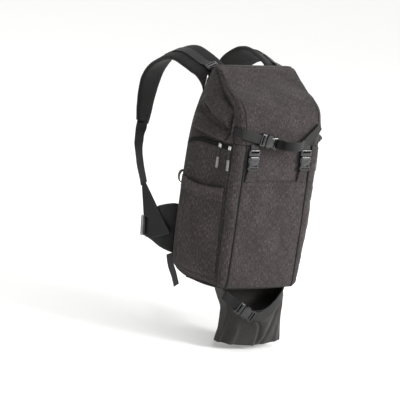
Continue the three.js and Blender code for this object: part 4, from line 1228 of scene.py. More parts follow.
zip_y, zip_z = zip_line(np.linspace(0.01, 0.99, 120))
coil_line = np.stack([-side_out(zip_y, zip_z, 2.5), zip_y, zip_z], axis=-1)
for tape, node in zip(both_sides("side_zip_tape", make_zip), ("side_zip_left", "side_zip_right")):
    dress(tape, "zip_tape", node)
zip_sizes = {"Length": 1.0 * MM, "Pitch": 1.9 * MM, "Width": 3.2 * MM, "Height": 1.3 * MM}
trim(along_line("side_zip_teeth", STITCHES, both(coil_line), zip_coil, zip_sizes))
lip_line = np.stack([-side_out(zip_y, zip_z + 4.6, 2.2), zip_y, zip_z + 4.6], axis=-1)
door_lip = np.stack([-side_out(zip_y, zip_z - 4.2, 3.4), zip_y, zip_z - 4.2], axis=-1)
piping("side_zip_lips", both(lip_line) + both(door_lip), 0.9)

# %% [markdown]
# ## Straps
#
# A strap is a closed band along a route: a smooth curve through the rows, with the way its width runs given
# at each row. Webbing has a flat outline with rounded edges; a padded strap has a full one, and its cloth is
# drawn in at the bound edge.

# %% Bands along routes


def curve_through(points, count, tension=0.5):
    """A centripetal Catmull-Rom curve through points, and the place of each sample among them."""
    p = np.asarray(points, dtype=float)
    p = np.concatenate([[2 * p[0] - p[1]], p, [2 * p[-1] - p[-2]]])
    places = np.linspace(0, len(points) - 1, count)
    out = []
    for u in places:
        i = min(int(u), len(points) - 2)
        a, b, c, d = p[i : i + 4]
        t = [0.0]
        for q, r in ((a, b), (b, c), (c, d)):
            t.append(t[-1] + max(np.linalg.norm(r - q), 1e-6) ** tension)
        x = t[1] + (t[2] - t[1]) * (u - i)
        a1 = a + (b - a) * (x - t[0]) / (t[1] - t[0])
        a2 = b + (c - b) * (x - t[1]) / (t[2] - t[1])
        a3 = c + (d - c) * (x - t[2]) / (t[3] - t[2])
        b1 = a1 + (a2 - a1) * (x - t[0]) / (t[2] - t[0])
        b2 = a2 + (a3 - a2) * (x - t[1]) / (t[3] - t[1])
        out.append(b1 + (b2 - b1) * (x - t[1]) / (t[2] - t[1]))
    return np.array(out), places


def band_frames(points, wides, count):
    """Middles, unit widths and unit outs along a band."""
    middle, places = curve_through(points, count)
    wides = np.asarray(wides, dtype=float)
    i = np.clip(places.astype(int), 0, len(points) - 2)
    k = (places - i)[:, None]
    k = k * k * (3 - 2 * k)
    wide = wides[i] * (1 - k) + wides[i + 1] * k
    forward = np.gradient(middle, axis=0)
    forward /= np.linalg.norm(forward, axis=1, keepdims=True)
    out = np.cross(forward, wide)
    out /= np.linalg.norm(out, axis=1, keepdims=True)
    wide = np.cross(out, forward)
    return middle, wide, out, places


def mix_along(values, places):
    return np.interp(places, np.arange(len(values)), values)


def outline(kind, count=20):
    """Half-sizes of a band's outline: flat for webbing, full for a padded strap."""
    a = np.linspace(0, 2 * np.pi, count, endpoint=False) + np.pi / count
    power = {"flat": (0.12, 0.7), "full": (0.32, 0.62)}[kind]
    c, s = np.cos(a), np.sin(a)
    return np.sign(c) * np.abs(c) ** power[0] * 0.5, np.sign(s) * np.abs(s) ** power[1] * 0.5


def band(name, points, wides, widths, thicks, material, *, kind="flat", step=3.0, lift=0.0, wave=0.0, seed=1):
    points = np.asarray(points, dtype=float)
    length = np.linalg.norm(np.diff(points, axis=0), axis=1).sum()
    count = max(int(length / step), 4)
    middle, wide, out, places = band_frames(points, wides, count)
    widths = mix_along(np.broadcast_to(widths, len(points)), places)
    thicks = mix_along(np.broadcast_to(thicks, len(points)), places)
    middle = middle + out * lift
    if wave:
        middle = middle + out * (wave * ripples(middle, 26, seed))[:, None]
    a, b = outline(kind, 28 if kind == "full" else 16)
    ring = middle[:, None] + wide[:, None] * (a * widths[:, None])[..., None]
    ring = ring + out[:, None] * (b * thicks[:, None])[..., None]
    if kind == "full":
        soft = 0.05 * ripples(ring, 30, seed) + 0.04 * ripples(ring, 14, seed + 1)
        ring = ring + out[:, None] * (soft * b * thicks[:, None])[..., None]
    rows, columns = ring.shape[:2]
    faces = grid_faces(rows, columns, ring=True)
    faces += [list(range(columns))[::-1], [(rows - 1) * columns + j for j in range(columns)]]
    down = np.concatenate([[0], np.cumsum(np.linalg.norm(np.diff(middle, axis=0), axis=1))])
    u = np.broadcast_to(a * np.mean(widths), (rows, columns)) + 3.0 * np.broadcast_to(b, (rows, columns))
    v = np.broadcast_to(down[:, None], (rows, columns))
    return build_mesh(name, ring.reshape(-1, 3), faces, material, np.stack([u, v], axis=-1).reshape(-1, 2))


def mirror_route(points, wides, side):
    """The route for the left side, or its mirror image; the width is turned so that out stays out."""
    points, wides = np.asarray(points, dtype=float), np.asarray(wides, dtype=float)
    if side == "left":
        return points, wides
    return points * (-1, 1, 1), wides * (1, -1, -1)


SIDES = ("left", "right")

# %% [markdown]
# The shoulder straps are foam in spacer cloth, with a grey face cloth, a bound edge, and a band of webbing
# sewn down the middle of each. The load lifters run from the top of the body to the top of the straps.

# %% Shoulder straps, their bindings and webbing
# each row: across, forward of the back panel, up from the shoulder, dip, turn, width
STRAP_ROUTE = np.array(
    [
        (78, 8, -74, 0, 0, 62),
        (82, 10, -42, 0.1, 0, 68),
        (89, 24, -18, 0.35, 0, 72),
        (93, 52, -8, 0.42, 0, 74),
        (95, 86, -1, 0.44, 0, 74),
        (96, 118, 3, 0.44, 0, 74),
        (97, 153, -2, 0.42, 0, 74),
        (98, 190, -19, 0.38, 0.05, 73),
        (100, 222, -42, 0.3, 0.15, 71),
        (103, 243, -73, 0.2, 0.25, 68),
        (106, 250, -111, 0.1, 0.35, 64),
        (110, 248, -149, 0.05, 0.45, 58),
        (117, 238, -183, 0.05, 0.6, 50),
    ]
)
STRAP_THICK = 11.0
WEBBING_THICK = 1.6
SHOULDER = 475.0


def ribbon(name, points, wides, width, **more):
    """A band of the harness's black webbing."""
    return band(name, points, wides, width, WEBBING_THICK, black_webbing, **more)


def strap_points(rows):
    return np.stack([-rows[:, 0], rows[:, 1], rows[:, 2] + SHOULDER], axis=-1)


def strap_wides(rows):
    return np.stack([-np.ones(len(rows)), -rows[:, 4], -rows[:, 3]], axis=-1)


def edge_lines(points, wides, widths, side, inset=0.6, lift=0.0, count=110):
    middle, wide, out, places = band_frames(points, wides, count)
    widths = mix_along(widths, places)[:, None]
    lines = [middle + wide * (sign * (widths / 2 - inset)) + out * lift for sign in (-1, 1)]
    return lines if side == "left" else [mirrored_line(line) for line in lines]


bindings = []
for side in SIDES:
    points, wides = mirror_route(strap_points(STRAP_ROUTE), strap_wides(STRAP_ROUTE), side)
    strap = band(
        f"padded_shoulder_strap_{side}",
        points,
        wides,
        STRAP_ROUTE[:, 5],
        STRAP_THICK,
        grey_cloth,
        kind="full",
        seed=5,
    )
    dress(strap, "black_cloth", f"shoulder_strap_{side}")
    left_points, left_wides = strap_points(STRAP_ROUTE), strap_wides(STRAP_ROUTE)
    bindings += edge_lines(left_points, left_wides, STRAP_ROUTE[:, 5], side)
    rows = STRAP_ROUTE[6:]
    points, wides = mirror_route(strap_points(rows), strap_wides(rows), side)
    on_strap = STRAP_THICK / 2 + 0.6
    trim(ribbon(f"shoulder_strap_webbing_{side}", points, wides, 25, lift=on_strap))
piping("shoulder_strap_bindings", bindings, 1.9)

# %% Load lifters
LIFTER_START = np.array([(85, 2.2, -17, 0.2, 0, 20), (89, 12, -8, 0.3, 0, 20), (92, 30, -2, 0.4, 0, 20)])
LIFTER_LIFT = STRAP_THICK / 2 + 0.3 + 1.6
strap_top = STRAP_ROUTE[3:8]


def lifted(rows, lift):
    """Rows of a strap moved out by a lift, as points."""
    points, wides = strap_points(rows), strap_wides(rows)
    forward = np.gradient(points, axis=0)
    out = np.cross(forward, wides)
    return points + out / np.linalg.norm(out, axis=1, keepdims=True) * lift


lifter_points = np.concatenate([strap_points(LIFTER_START), lifted(strap_top, LIFTER_LIFT)])
lifter_wides = np.concatenate([strap_wides(LIFTER_START), strap_wides(strap_top)])
for side in SIDES:
    points, wides = mirror_route(lifter_points, lifter_wides, side)
    dress(ribbon(f"load_lifter_webbing_{side}", points, wides, 20), "webbing", f"load_lifter_{side}")

# %% [markdown]
# Below the chest each shoulder strap goes on as webbing to a cloth gusset on the hip belt. The belt is two
# padded wings, thick at the back and narrow at the front, joined by wide webbing and a clasp.

# %% Lower webbing, hip belt and tails
LOWER_ROUTE = np.array(
    [
        (118.3, 236.1, 288.3, 0.6, 0.05),
        (135, 213, 254, 1.4, -0.4),
        (148, 178, 216, 4, -2),
        (154, 144, 181.5, 9, -7),
    ]
)
HIP_ROUTE = np.array(
    [
        (106, 6.2, 102, 98, 11),
        (124, 7, 102, 106, 11),
        (139, 13, 102, 112, 11),
        (146.5, 34, 99, 102, 11),
        (147.5, 62, 94, 90, 11),
        (147, 88, 88, 70, 10),
        (144, 112, 81, 54, 9),
        (138, 134, 75, 46, 8),
        (128, 154, 70, 40, 8),
    ]
)
WING_WIDE = np.array([0.0, 0.0, -1.0])
belt_lift = HIP_ROUTE[6:, 4] / 2 + 0.9 + 0.8


def wing_points(rows):
    return np.stack([-rows[:, 0], rows[:, 1], rows[:, 2]], axis=-1)


def outward_of(points):
    forward = np.gradient(points, axis=0)
    out = np.cross(forward, np.broadcast_to(WING_WIDE, points.shape))
    return out / np.linalg.norm(out, axis=1, keepdims=True)


belt_points = wing_points(HIP_ROUTE[6:])
belt_points = np.concatenate([belt_points, [[-112, 181, 64], [-86, 204, 60], [-58, 219, 57], [-34, 227, 56]]])
belt_points = belt_points + outward_of(belt_points) * np.array([*belt_lift, 3, 1, 0, 0])[:, None]
TAIL_POINTS = np.array(
    [
        (-141, 13, 43),
        (-142.5, 9, 36),
        (-144, -3, 20),
        (-143.9, -20, 3),
        (-143, -34, -17),
    ],
    dtype=float,
)

# the lower webbing starts inside the padded strap and ends between the gusset's two cloths
lower_points = np.stack([-LOWER_ROUTE[:, 0], LOWER_ROUTE[:, 1], LOWER_ROUTE[:, 2]], axis=-1)
lower_points = np.concatenate([[(-113.0, 243.2, 310.0)], lower_points, [(-154.6, 137.0, 172.0)]])
lower_wides = strap_wides(LOWER_ROUTE)
lower_wides = np.concatenate([lower_wides[:1], lower_wides, lower_wides[-1:]])
wing_edges = []
for side in SIDES:
    points, wides = mirror_route(lower_points, lower_wides, side)
    dress(ribbon(f"lower_strap_webbing_{side}", points, wides, 25), "webbing", f"lower_webbing_{side}")
    wing_wides = np.broadcast_to(WING_WIDE, (len(HIP_ROUTE), 3))
    points, wides = mirror_route(wing_points(HIP_ROUTE), wing_wides, side)
    wing = band(
        f"padded_hip_wing_{side}",
        points,
        wides,
        HIP_ROUTE[:, 3],
        HIP_ROUTE[:, 4],
        black_cloth,
        kind="full",
        seed=8,
    )
    dress(wing, "black_cloth", f"hip_wing_{side}")
    wing_edges += edge_lines(wing_points(HIP_ROUTE), wing_wides, HIP_ROUTE[:, 3], side)
    points, wides = mirror_route(belt_points, np.broadcast_to(WING_WIDE, (len(belt_points), 3)), side)
    dress(ribbon(f"hip_belt_webbing_{side}", points, wides, 38), "webbing", f"belt_webbing_{side}")
    points, wides = mirror_route(TAIL_POINTS, np.broadcast_to((0.0, -1.0, 0.0), (5, 3)), side)
    dress(ribbon(f"hanging_tail_{side}", points, wides, 23), "webbing", f"strap_tail_{side}")
piping("hip_wing_bindings", wing_edges, 1.7)

# %% [markdown]
# ## Buckles and sliders
#
# A moulded part is a small tile: an outline drawn in and raised in a few steps, so its edge is rounded and
# its top slightly domed. Its slots are cut with boxes. The outline and the height of each step are in mm.

# %% Moulded tiles


def frame_at(at, forward, out):
    """Axes of a flat part: x along forward, z out, y across."""
    z = np.asarray(out, dtype=float)
    z = z / np.linalg.norm(z)
    x = np.asarray(forward, dtype=float)
    x = x - z * (x @ z)
    x = x / np.linalg.norm(x)
    return np.asarray(at, dtype=float), np.array([x, np.cross(z, x), z])


def rounded_outline(length, width, radius, waist=0.0, steps=5):
    """Points round a rectangle with round corners, drawn in at the middle of its long sides by a waist."""
    points = []
    for k, (sx, sy) in enumerate(((1, 1), (-1, 1), (-1, -1), (1, -1))):
        cx, cy = sx * (length / 2 - radius), sy * (width / 2 - radius)
        for i in range(steps + 1):
            a = math.pi / 2 * (k + i / steps)
            points.append((cx + radius * math.cos(a), cy + radius * math.sin(a)))
        if k in (0, 2):
            across = np.linspace(cx, -cx, 8)[1:-1]
            for x in across:
                nip = waist * math.cos(math.pi * x / (2 * abs(cx))) ** 2
                points.append((x, sy * (width / 2 - nip)))
    return np.array(points)


TILE_STEPS = ((0.0, 0.08), (0.0, 0.6), (0.35, 0.82), (1.1, 0.94), (2.6, 1.0))  # inset in mm, share of height


def tile(name, shape, thick, place, material, *, slots=(), dome=0.0):
    at, axes = place
    middle = shape.mean(axis=0)
    away = shape - middle
    size = np.linalg.norm(away, axis=1, keepdims=True)
    rings = []
    for inset, share in (((0.7, 0.0),) + TILE_STEPS):
        flat = middle + away * (1 - inset / size)
        rings.append(np.column_stack([flat, np.full(len(flat), share * thick)]))
    count = len(shape)
    local = np.concatenate([*rings, [[*middle, thick + dome], [*middle, 0.0]]])
    faces = grid_faces(len(rings), count, ring=True)
    top, foot = len(local) - 2, len(local) - 1
    last = (len(rings) - 1) * count
    faces += [[last + j, last + (j + 1) % count, top] for j in range(count)]
    faces += [[(j + 1) % count, j, foot] for j in range(count)]
    points = at + local @ axes
    piece = build_mesh(name, points, faces, material)
    if slots:
        carve(piece, slots, thick, place)
    return piece


def carve(piece, slots, thick, place):
    """Cut box slots (middle x, middle y, length, width, floor as a share of the height) out of a tile."""
    at, axes = place
    cutters = []
    for x, y, length, width, floor in slots:
        low, high = floor * thick - (1 if floor == 0 else 0), thick + 3
        around = ((-1, -1), (1, -1), (1, 1), (-1, 1))
        corners = [(x + sx * length / 2, y + sy * width / 2, z) for z in (low, high) for sx, sy in around]
        faces = [[3, 2, 1, 0], [4, 5, 6, 7], [0, 1, 5, 4], [1, 2, 6, 5], [2, 3, 7, 6], [3, 0, 4, 7]]
        cutter = build_mesh("slot", at + np.array(corners) @ axes, faces, acetal, smooth=False)
        cutters.append(cutter)
        cut = piece.modifiers.new("slot", "BOOLEAN")
        cut.operation = "DIFFERENCE"
        cut.object = cutter
    bpy.context.view_layer.update()
    evaluated = piece.evaluated_get(bpy.context.evaluated_depsgraph_get())
    mesh = bpy.data.meshes.new_from_object(evaluated)
    piece.modifiers.clear()
    piece.data = mesh
    mesh.name = piece.name
    for cutter in cutters:
        bpy.data.objects.remove(cutter)


def sharpen(piece, degrees=32):
    piece.data.set_sharp_from_angle(angle=math.radians(degrees))
    return piece


def joined(name, parts):
    """One object from several, in their world places."""
    points, faces, materials, kinds, smooth = [], [], [], [], []
    for part in parts:
        start = len(points)
        points += [tuple(v.co) for v in part.data.vertices]
        for material in part.data.materials:
            if material not in materials:
                materials.append(material)
        for polygon in part.data.polygons:
            faces.append([start + i for i in polygon.vertices])
            kinds.append(materials.index(part.data.materials[polygon.material_index]))
            smooth.append(polygon.use_smooth)
    mesh = bpy.data.meshes.new(name)
    mesh.from_pydata(points, [], faces)
    for material in materials:
        mesh.materials.append(material)
    mesh.polygons.foreach_set("material_index", kinds)
    mesh.polygons.foreach_set("use_smooth", smooth)
    layer = mesh.uv_layers.new(name="cloth")
    flat = []
    for part in parts:
        uv = part.data.uv_layers.get("cloth")
        for loop in part.data.loops:
            flat += list(uv.data[loop.index].uv) if uv else [0.0, 0.0]
    layer.data.foreach_set("uv", flat)
    for part in parts:
        bpy.data.objects.remove(part)
    piece = bpy.data.objects.new(name, mesh)
    collection.objects.link(piece)
    return sharpen(piece)


# %% Side-release buckles
MARGIN = 4.2
CLIP_LENGTH, SOCKET_LENGTH, SOCKET_THICK = 14.0, 32.0, 9.0


def buckle(clip_name, socket_name, width, seat, forward, out, clip_node, socket_node):
    """A fastened buckle whose clip and socket meet at a seat."""
    at, axes = frame_at(seat, forward, out)
    wide = width + 2 * MARGIN
    place = (at - axes[0] * (CLIP_LENGTH / 2 + 0.15), axes)
    slots = [(-1.9, 0, 3.8, width + 1, 0.0)]
    shape = rounded_outline(CLIP_LENGTH, wide, 2.4)
    frame_part = tile("clip_frame", shape, 6.6, place, acetal, slots=slots)
    bar = (place[0] + axes[0] * 2.8, axes)
    ladder = tile("clip_ladder", rounded_outline(2.6, width + 1, 1.0), 7.4, bar, acetal)
    clip = dress(joined(clip_name, [frame_part, ladder]), "buckle_plastic", clip_node)
    place = (at + axes[0] * (SOCKET_LENGTH / 2 + 0.15), axes)
    shape = rounded_outline(SOCKET_LENGTH, wide, 5.0, waist=2.2)
    slots = [
        (SOCKET_LENGTH / 2 - 5, 0, 3.6, width + 1, 0.0),
        (SOCKET_LENGTH / 2 - 11, 0, 2.6, width - 2, 0.45),
    ]
    slots += [(-SOCKET_LENGTH / 2 + 9, sy * (wide / 2 - 1.2), 13, 3.4, 0.2) for sy in (-1, 1)]
    body_part = tile("socket_body", shape, SOCKET_THICK - 1.0, place, acetal, slots=slots, dome=1.2)
    arms = []
    for sy in (-1, 1):
        arm_at = place[0] + axes[0] * (-SOCKET_LENGTH / 2 + 9) + axes[1] * sy * (wide / 2 - 1.5)
        arm_place = (arm_at + axes[2] * 1.2, axes)
        arms.append(tile("release_arm", rounded_outline(11.5, 3.6, 1.6), 6.2, arm_place, acetal))
    socket = dress(joined(socket_name, [body_part, *arms]), "buckle_plastic", socket_node)
    return clip, socket


FRONT_SKIN = 154.0
for side, sign in zip(SIDES, (-1, 1)):
    seat = (sign * 68.0, -FRONT_SKIN - 0.3, 310.0)
    buckle(
        f"lid_buckle_clip_{side}",
        f"lid_buckle_socket_{side}",
        20,
        seat,
        (0, 0, -1),
        (0, -1, 0),
        f"lid_clip_{side}",
        f"lid_socket_{side}",
    )
    x = sign * 68.0
    y = -FRONT_SKIN - 1.3
    lid_strap = [(x, y - 2.4, 321.5), (x, y - 2.6, 326), (x, y - 1.4, 331), (x, y + 0.2, 336)]
    across = [(-1.0, 0, 0)] * 4
    piece = band(f"lid_strap_webbing_{side}", lid_strap, across, 20, WEBBING_THICK, webbing, step=1.5)
    dress(piece, "webbing", f"lid_strap_{side}")
    tab = [(x, y + 0.4, 251), (x, y - 0.4, 260), (x, y - 1.6, 270), (x, y - 4.6, 279), (x, y - 4.4, 284)]
    tab_widths = (24, 23.5, 22, 20.5, 20.5)
    piece = band(f"buckle_tab_{side}", tab, [(-1.0, 0, 0)] * 5, tab_widths, 2.2, heather, step=1.5)
    dress(piece, "heather_cloth", f"socket_tab_{side}")

# %% [markdown]
# The carrying strap crosses the front of the lid. Its left part runs down to a buckle; its right part goes on
# round the space for long gear, as when it is fastened, and back up to the lid's right seam.

# %% Front strap and its buckle
LID_SKIN = 158.3
CARRY = {"across": 11.0, "fore": 181.3, "loop": 23.2, "height": 340.0, "slope": 0.23, "buckle": -46.0}
UP = np.array([0.0, 0.0, 1.0])


def strap_height(across):
    return CARRY["height"] - (across + 22.0) * CARRY["slope"]


end = CARRY["buckle"] - CLIP_LENGTH + 4.0
left_route = [(x, 0.0, strap_height(x)) for x in (-112.0, -104.0, -96.0, -88.0, -78.0, end - 4, end)]
left_route[0] = (-113.0, -132.5, strap_height(-112.3))
for i in range(1, len(left_route)):
    x, _, z = left_route[i]
    left_route[i] = (x, float(front_out(np.clip(x, -106, 106), z, 4.3)) - 1.9 - 0.9 * i, z)
up_wides = [UP] * len(left_route)
dress(ribbon("carry_strap_left", left_route, up_wides, 20), "webbing", "front_strap_left")
seat = (CARRY["buckle"], -LID_SKIN - 0.3, strap_height(CARRY["buckle"]))
buckle(
    "carry_buckle_clip",
    "carry_buckle_socket",
    20,
    seat,
    (1, 0, -CARRY["slope"]),
    (0, -1, 0),
    "front_strap_clip",
    "front_strap_socket",
)
start = CARRY["buckle"] + SOCKET_LENGTH
right_route = [(start - 3, -LID_SKIN - 5.0, strap_height(start))]
for degrees in (170, 205, 237, 270, 303, 335):
    a = math.radians(degrees)
    x = CARRY["across"] + CARRY["loop"] * math.cos(a)
    y = -CARRY["fore"] + CARRY["loop"] * math.sin(a)
    right_route.append((x, y, CARRY["height"] + (degrees - 170) * 0.02))
right_route += [(56, -LID_SKIN - 8, 340), (86, -LID_SKIN - 1.4, 364), (99, -LID_SKIN + 3.6, 377)]
up_wides = [UP] * len(right_route)
dress(ribbon("carry_strap_right", right_route, up_wides, 20), "webbing", "front_strap_right")

# %% [markdown]
# ## Foot pouch
#
# The pouch is a sack of smooth nylon under the front of the base, with its mouth held open by a strap. Rings
# go down it; between the rows its sizes run on smooth curves. The cloth sags in folds from the strap, and a
# darker gusset joins it to the base at each side.

# %% The pouch
POUCH_NAMES = ("down", "left", "right", "side", "bulge", "back", "sag")
POUCH_LEVELS = np.array(
    [
        (0, 82, 80, 128, 30, 88, 44),
        (0.2, 68, 83, 127, 32, 88, 40),
        (0.45, 57, 86, 125, 29, 90, 27),
        (0.72, 58, 90, 122, 22, 94, 14),
        (1, 69, 96, 120, 10, 100, 7),
    ]
)
POUCH = {name: smooth_curve(POUCH_LEVELS[:, 0], POUCH_LEVELS[:, i]) for i, name in enumerate(POUCH_NAMES)}
POUCH_DEPTH, POUCH_MOUTH = 126.0, 0.5
# folds hang from the mouth: where along the front at the mouth and at the foot, push in mm, breadth, start
POUCH_FOLDS = [
    (0.44, 0.56, -6.0, 0.035, 0.16),
    (0.36, 0.51, 4.0, 0.060, 0.20),
    (0.88, 0.62, -5.5, 0.040, 0.14),
    (0.66, 0.59, 5.0, 0.080, 0.18),
    (0.10, 0.16, 4.5, 0.040, 0.05),
    (0.03, 0.05, -9.0, 0.045, 0.05),
    (0.94, 0.90, 3.0, 0.040, 0.15),
]


def pouch_fold(u, v):
    total = 0.0
    for start_at, end_at, push, breadth, begin in POUCH_FOLDS:
        off = (u - start_at - (end_at - start_at) * v) / breadth
        total = total + push * np.exp(-(off**2)) * smooth_step(v, begin, 2 * begin)
    return total


def pouch_ring(v, inset, front_count=90, back_count=24):
    q = {name: float(POUCH[name](v)) for name in POUCH_NAMES[1:]}
    left, right = -q["left"] + inset, q["right"] - inset
    u = np.linspace(0, 1, front_count)
    swell = np.sin(np.pi * u)
    z = -POUCH_MOUTH - v * POUCH_DEPTH
    fore = q["side"] - inset + q["bulge"] * swell**0.7 + pouch_fold(u, v)
    front = np.stack([left + (right - left) * u, -fore, z - q["sag"] * swell**1.2], axis=-1)
    t = np.linspace(0, 1, back_count + 2)[1:-1, None]
    corner_r = np.array([right, -q["back"] - inset, z])
    corner_l = np.array([left, -q["back"] - inset, z])
    back = corner_r + (corner_l - corner_r) * t
    side_r = front[-1] + (corner_r - front[-1]) * np.linspace(0, 1, 8)[1:, None]
    side_l = corner_l + (front[0] - corner_l) * np.linspace(0, 1, 8)[:-1, None]
    return np.concatenate([front, side_r, back, side_l])


def make_pouch():
    rows = np.linspace(0, 1, 70)
    outer = np.array([pouch_ring(v, 0.0) for v in rows])
    soft = 1.2 * ripples(outer, 60, 61) + 0.4 * ripples(outer, 26, 62, (1, 1, 2.4))
    middle = outer.mean(axis=1, keepdims=True)
    away = outer - middle
    away[..., 2] = 0
    away /= np.maximum(np.linalg.norm(away, axis=-1, keepdims=True), 1e-6)
    quiet = smooth_step(rows, 0.0, 0.12)[:, None]
    outer = outer + away * (soft * quiet)[..., None]
    thin = outer - away * 1.5
    thin[-1, :, 2] += 1.5
    count = outer.shape[1]
    points = np.concatenate([outer[::-1].reshape(-1, 3), thin.reshape(-1, 3)])
    faces = grid_faces(2 * len(rows), count, ring=True)
    last = (2 * len(rows) - 1) * count
    ends = np.array([outer[-1].mean(axis=0), thin[-1].mean(axis=0)])
    foot, top = len(points), len(points) + 1
    faces += [[foot, (j + 1) % count, j] for j in range(count)]
    faces += [[top, last + j, last + (j + 1) % count] for j in range(count)]
    across = np.zeros(outer.shape[:2])
    across[:, 1:] = np.cumsum(np.linalg.norm(np.diff(outer, axis=1), axis=-1), axis=1)
    along = np.broadcast_to(rows[:, None] * 130.0, across.shape)
    uv = np.stack([across, along], axis=-1)
    uv = np.concatenate([uv[::-1].reshape(-1, 2), uv.reshape(-1, 2), np.zeros((2, 2))])
    return build_mesh("foot_pouch_cloth", np.concatenate([points, ends]), faces, pouch_cloth, uv)


pouch = dress(make_pouch(), "black_cloth", "foot_pouch")

# %% The strap round the pouch's mouth
RIM = {"buckle": -42.0, "lift": 4.0, "drop": 11.0, "share": 0.76, "end": 2.0}


def rim_place(across, lift):
    swell = math.sin(math.pi * (across + 82.0) / 162.0)
    return (across, -(128.0 + 30.0 * swell**0.7 + lift), -POUCH_MOUTH - RIM["drop"] - 44.0 * swell**1.2)


before = np.array(rim_place(RIM["buckle"] - CLIP_LENGTH, 0))
after = np.array(rim_place(RIM["buckle"] + SOCKET_LENGTH * RIM["share"], 0))
rim_forward = (after - before) / np.linalg.norm(after - before)
rim_out = np.cross(rim_forward, UP)
buckle(
    "rim_buckle_clip",
    "rim_buckle_socket",
    20,
    rim_place(RIM["buckle"], RIM["lift"]),
    rim_forward,
    rim_out,
    "pouch_clip",
    "pouch_socket",
)


def rim_strap(name, corner, stop, node):
    rows = []
    for share in np.linspace(0, 1, 9):
        rise = (RIM["lift"] + 3.0) * float(smooth_step(share, 0.55, 1.0))
        rows.append(rim_place(corner + (stop - corner) * share, 1.5 + rise))
    if stop < corner:
        rows.reverse()
    return dress(ribbon(name, rows, [UP] * len(rows), 20), "webbing", node)


clip_end = RIM["buckle"] - CLIP_LENGTH * RIM["share"] + 2
socket_end = RIM["buckle"] + SOCKET_LENGTH * RIM["share"] - 2
rim_strap("carry_rim_strap_left", -80.0, clip_end, "pouch_strap_left")
rim_strap("carry_rim_strap_right", 78.0, socket_end, "pouch_strap_right")
rim_edge = [rim_place(x, 0.7) for x in np.linspace(-81, 79, 80)]
rim_edge = np.array(rim_edge) + (0, 0, RIM["drop"])
# the lower line is a black tube under the rim strap: painted shadow standing for the dark gap between strap
# and pouch cloth
under_strap_shadow_line = np.array([rim_place(x, 1.2) for x in np.linspace(-76, 74, 80)]) - (0, 0, RIM["drop"] + 1.0)
piping("pouch_mouth_binding_and_painted_shadow_line", [rim_edge, under_strap_shadow_line], 1.6)

# %% [markdown]
# ## Harness side
#
# The back panel is foam in spacer mesh, with an air channel down its middle and quilted lines across. It is
# hidden in the photograph, so it is finished plainly. The gussets are flat cloth with a bound edge.

# %% Back panel
PAD = {"foot": 60.0, "top": 394.0, "half": 104.0, "thick": 9.0, "corner": 24.0, "channel": 17.0}


def pad_grid(rows=120, columns=76):
    z = np.linspace(PAD["foot"], PAD["top"], rows)
    near = np.minimum(z - PAD["foot"], PAD["top"] - z)
    short = np.clip(PAD["corner"] - near, 0, None)
    inset = PAD["corner"] - np.sqrt(np.clip(PAD["corner"] ** 2 - short**2, 0, None))
    t = np.linspace(-1, 1, columns)
    x = t[None, :] * (PAD["half"] - inset)[:, None]
    return np.stack([x, np.full_like(x, 0.3), np.broadcast_to(z[:, None], x.shape)], axis=-1)


def pad_relief(grid):
    x, z = grid[..., 0], grid[..., 2]
    channel = -4.0 * smooth_step(-np.abs(x), -PAD["channel"] - 4, -PAD["channel"] + 4)
    quilt = -1.6 * np.exp(-(((z - 60) % 42 - 21) / 2.2) ** 2) * smooth_step(np.abs(x), 18, 26)
    return channel + quilt + 0.4 * ripples(grid, 40, 71)


back_pad = panel(
    "back_panel_pad",
    pad_grid(),
    PAD["thick"] - 0.4,
    black_cloth,
    edge=4.0,
    relief=pad_relief,
    inside=np.array([0, -200.0, 230.0]),
)
dress(back_pad, "black_cloth", "back_panel")

# %% Gussets and side loops
GUSSET = np.array([(131, 175), (146, 177), (119, 104), (90, 103), (81, 59), (4, 93), (73, 137)], dtype=float)
LOOP_Z = 228.0
loop_foot = float(side_out(-20.0, LOOP_Z, 1.5))
LOOP = [
    (-loop_foot + 1.5, -11, LOOP_Z + 14),
    (-loop_foot - 4, -9, LOOP_Z + 11),
    (-loop_foot - 7, -8, LOOP_Z),
    (-loop_foot - 4, -9, LOOP_Z - 11),
    (-loop_foot + 1.5, -11, LOOP_Z - 14),
]
for side, sign in zip(SIDES, (-1, 1)):
    count = len(GUSSET)
    near = np.column_stack([np.full(count, sign * 153.4), GUSSET])
    far = np.column_stack([np.full(count, sign * 155.6), GUSSET])
    faces = [list(range(count)), [count + i for i in reversed(range(count))]]
    faces += [[(i + 1) % count, i, count + i, count + (i + 1) % count] for i in range(count)]
    uv = np.concatenate([GUSSET, GUSSET])
    corners = np.concatenate([near, far])
    piece = build_mesh(f"hip_gusset_{side}", corners, faces, black_cloth, uv, smooth=False)
    dress(piece, "black_cloth", f"gusset_{side}")
    points, wides = mirror_route(LOOP, [(0.3, 1.0, 0.0)] * 5, side)
    dress(ribbon(f"webbing_loop_{side}", points, wides, 14, step=1.5), "webbing", f"side_loop_{side}")
gusset_edge = np.array([(-154.5, y, z) for y, z in [*GUSSET, GUSSET[0]]])
piping("hip_gusset_bindings", both(gusset_edge), 1.6)

# %% [markdown]
# ## Sliders, pulls and ladder locks

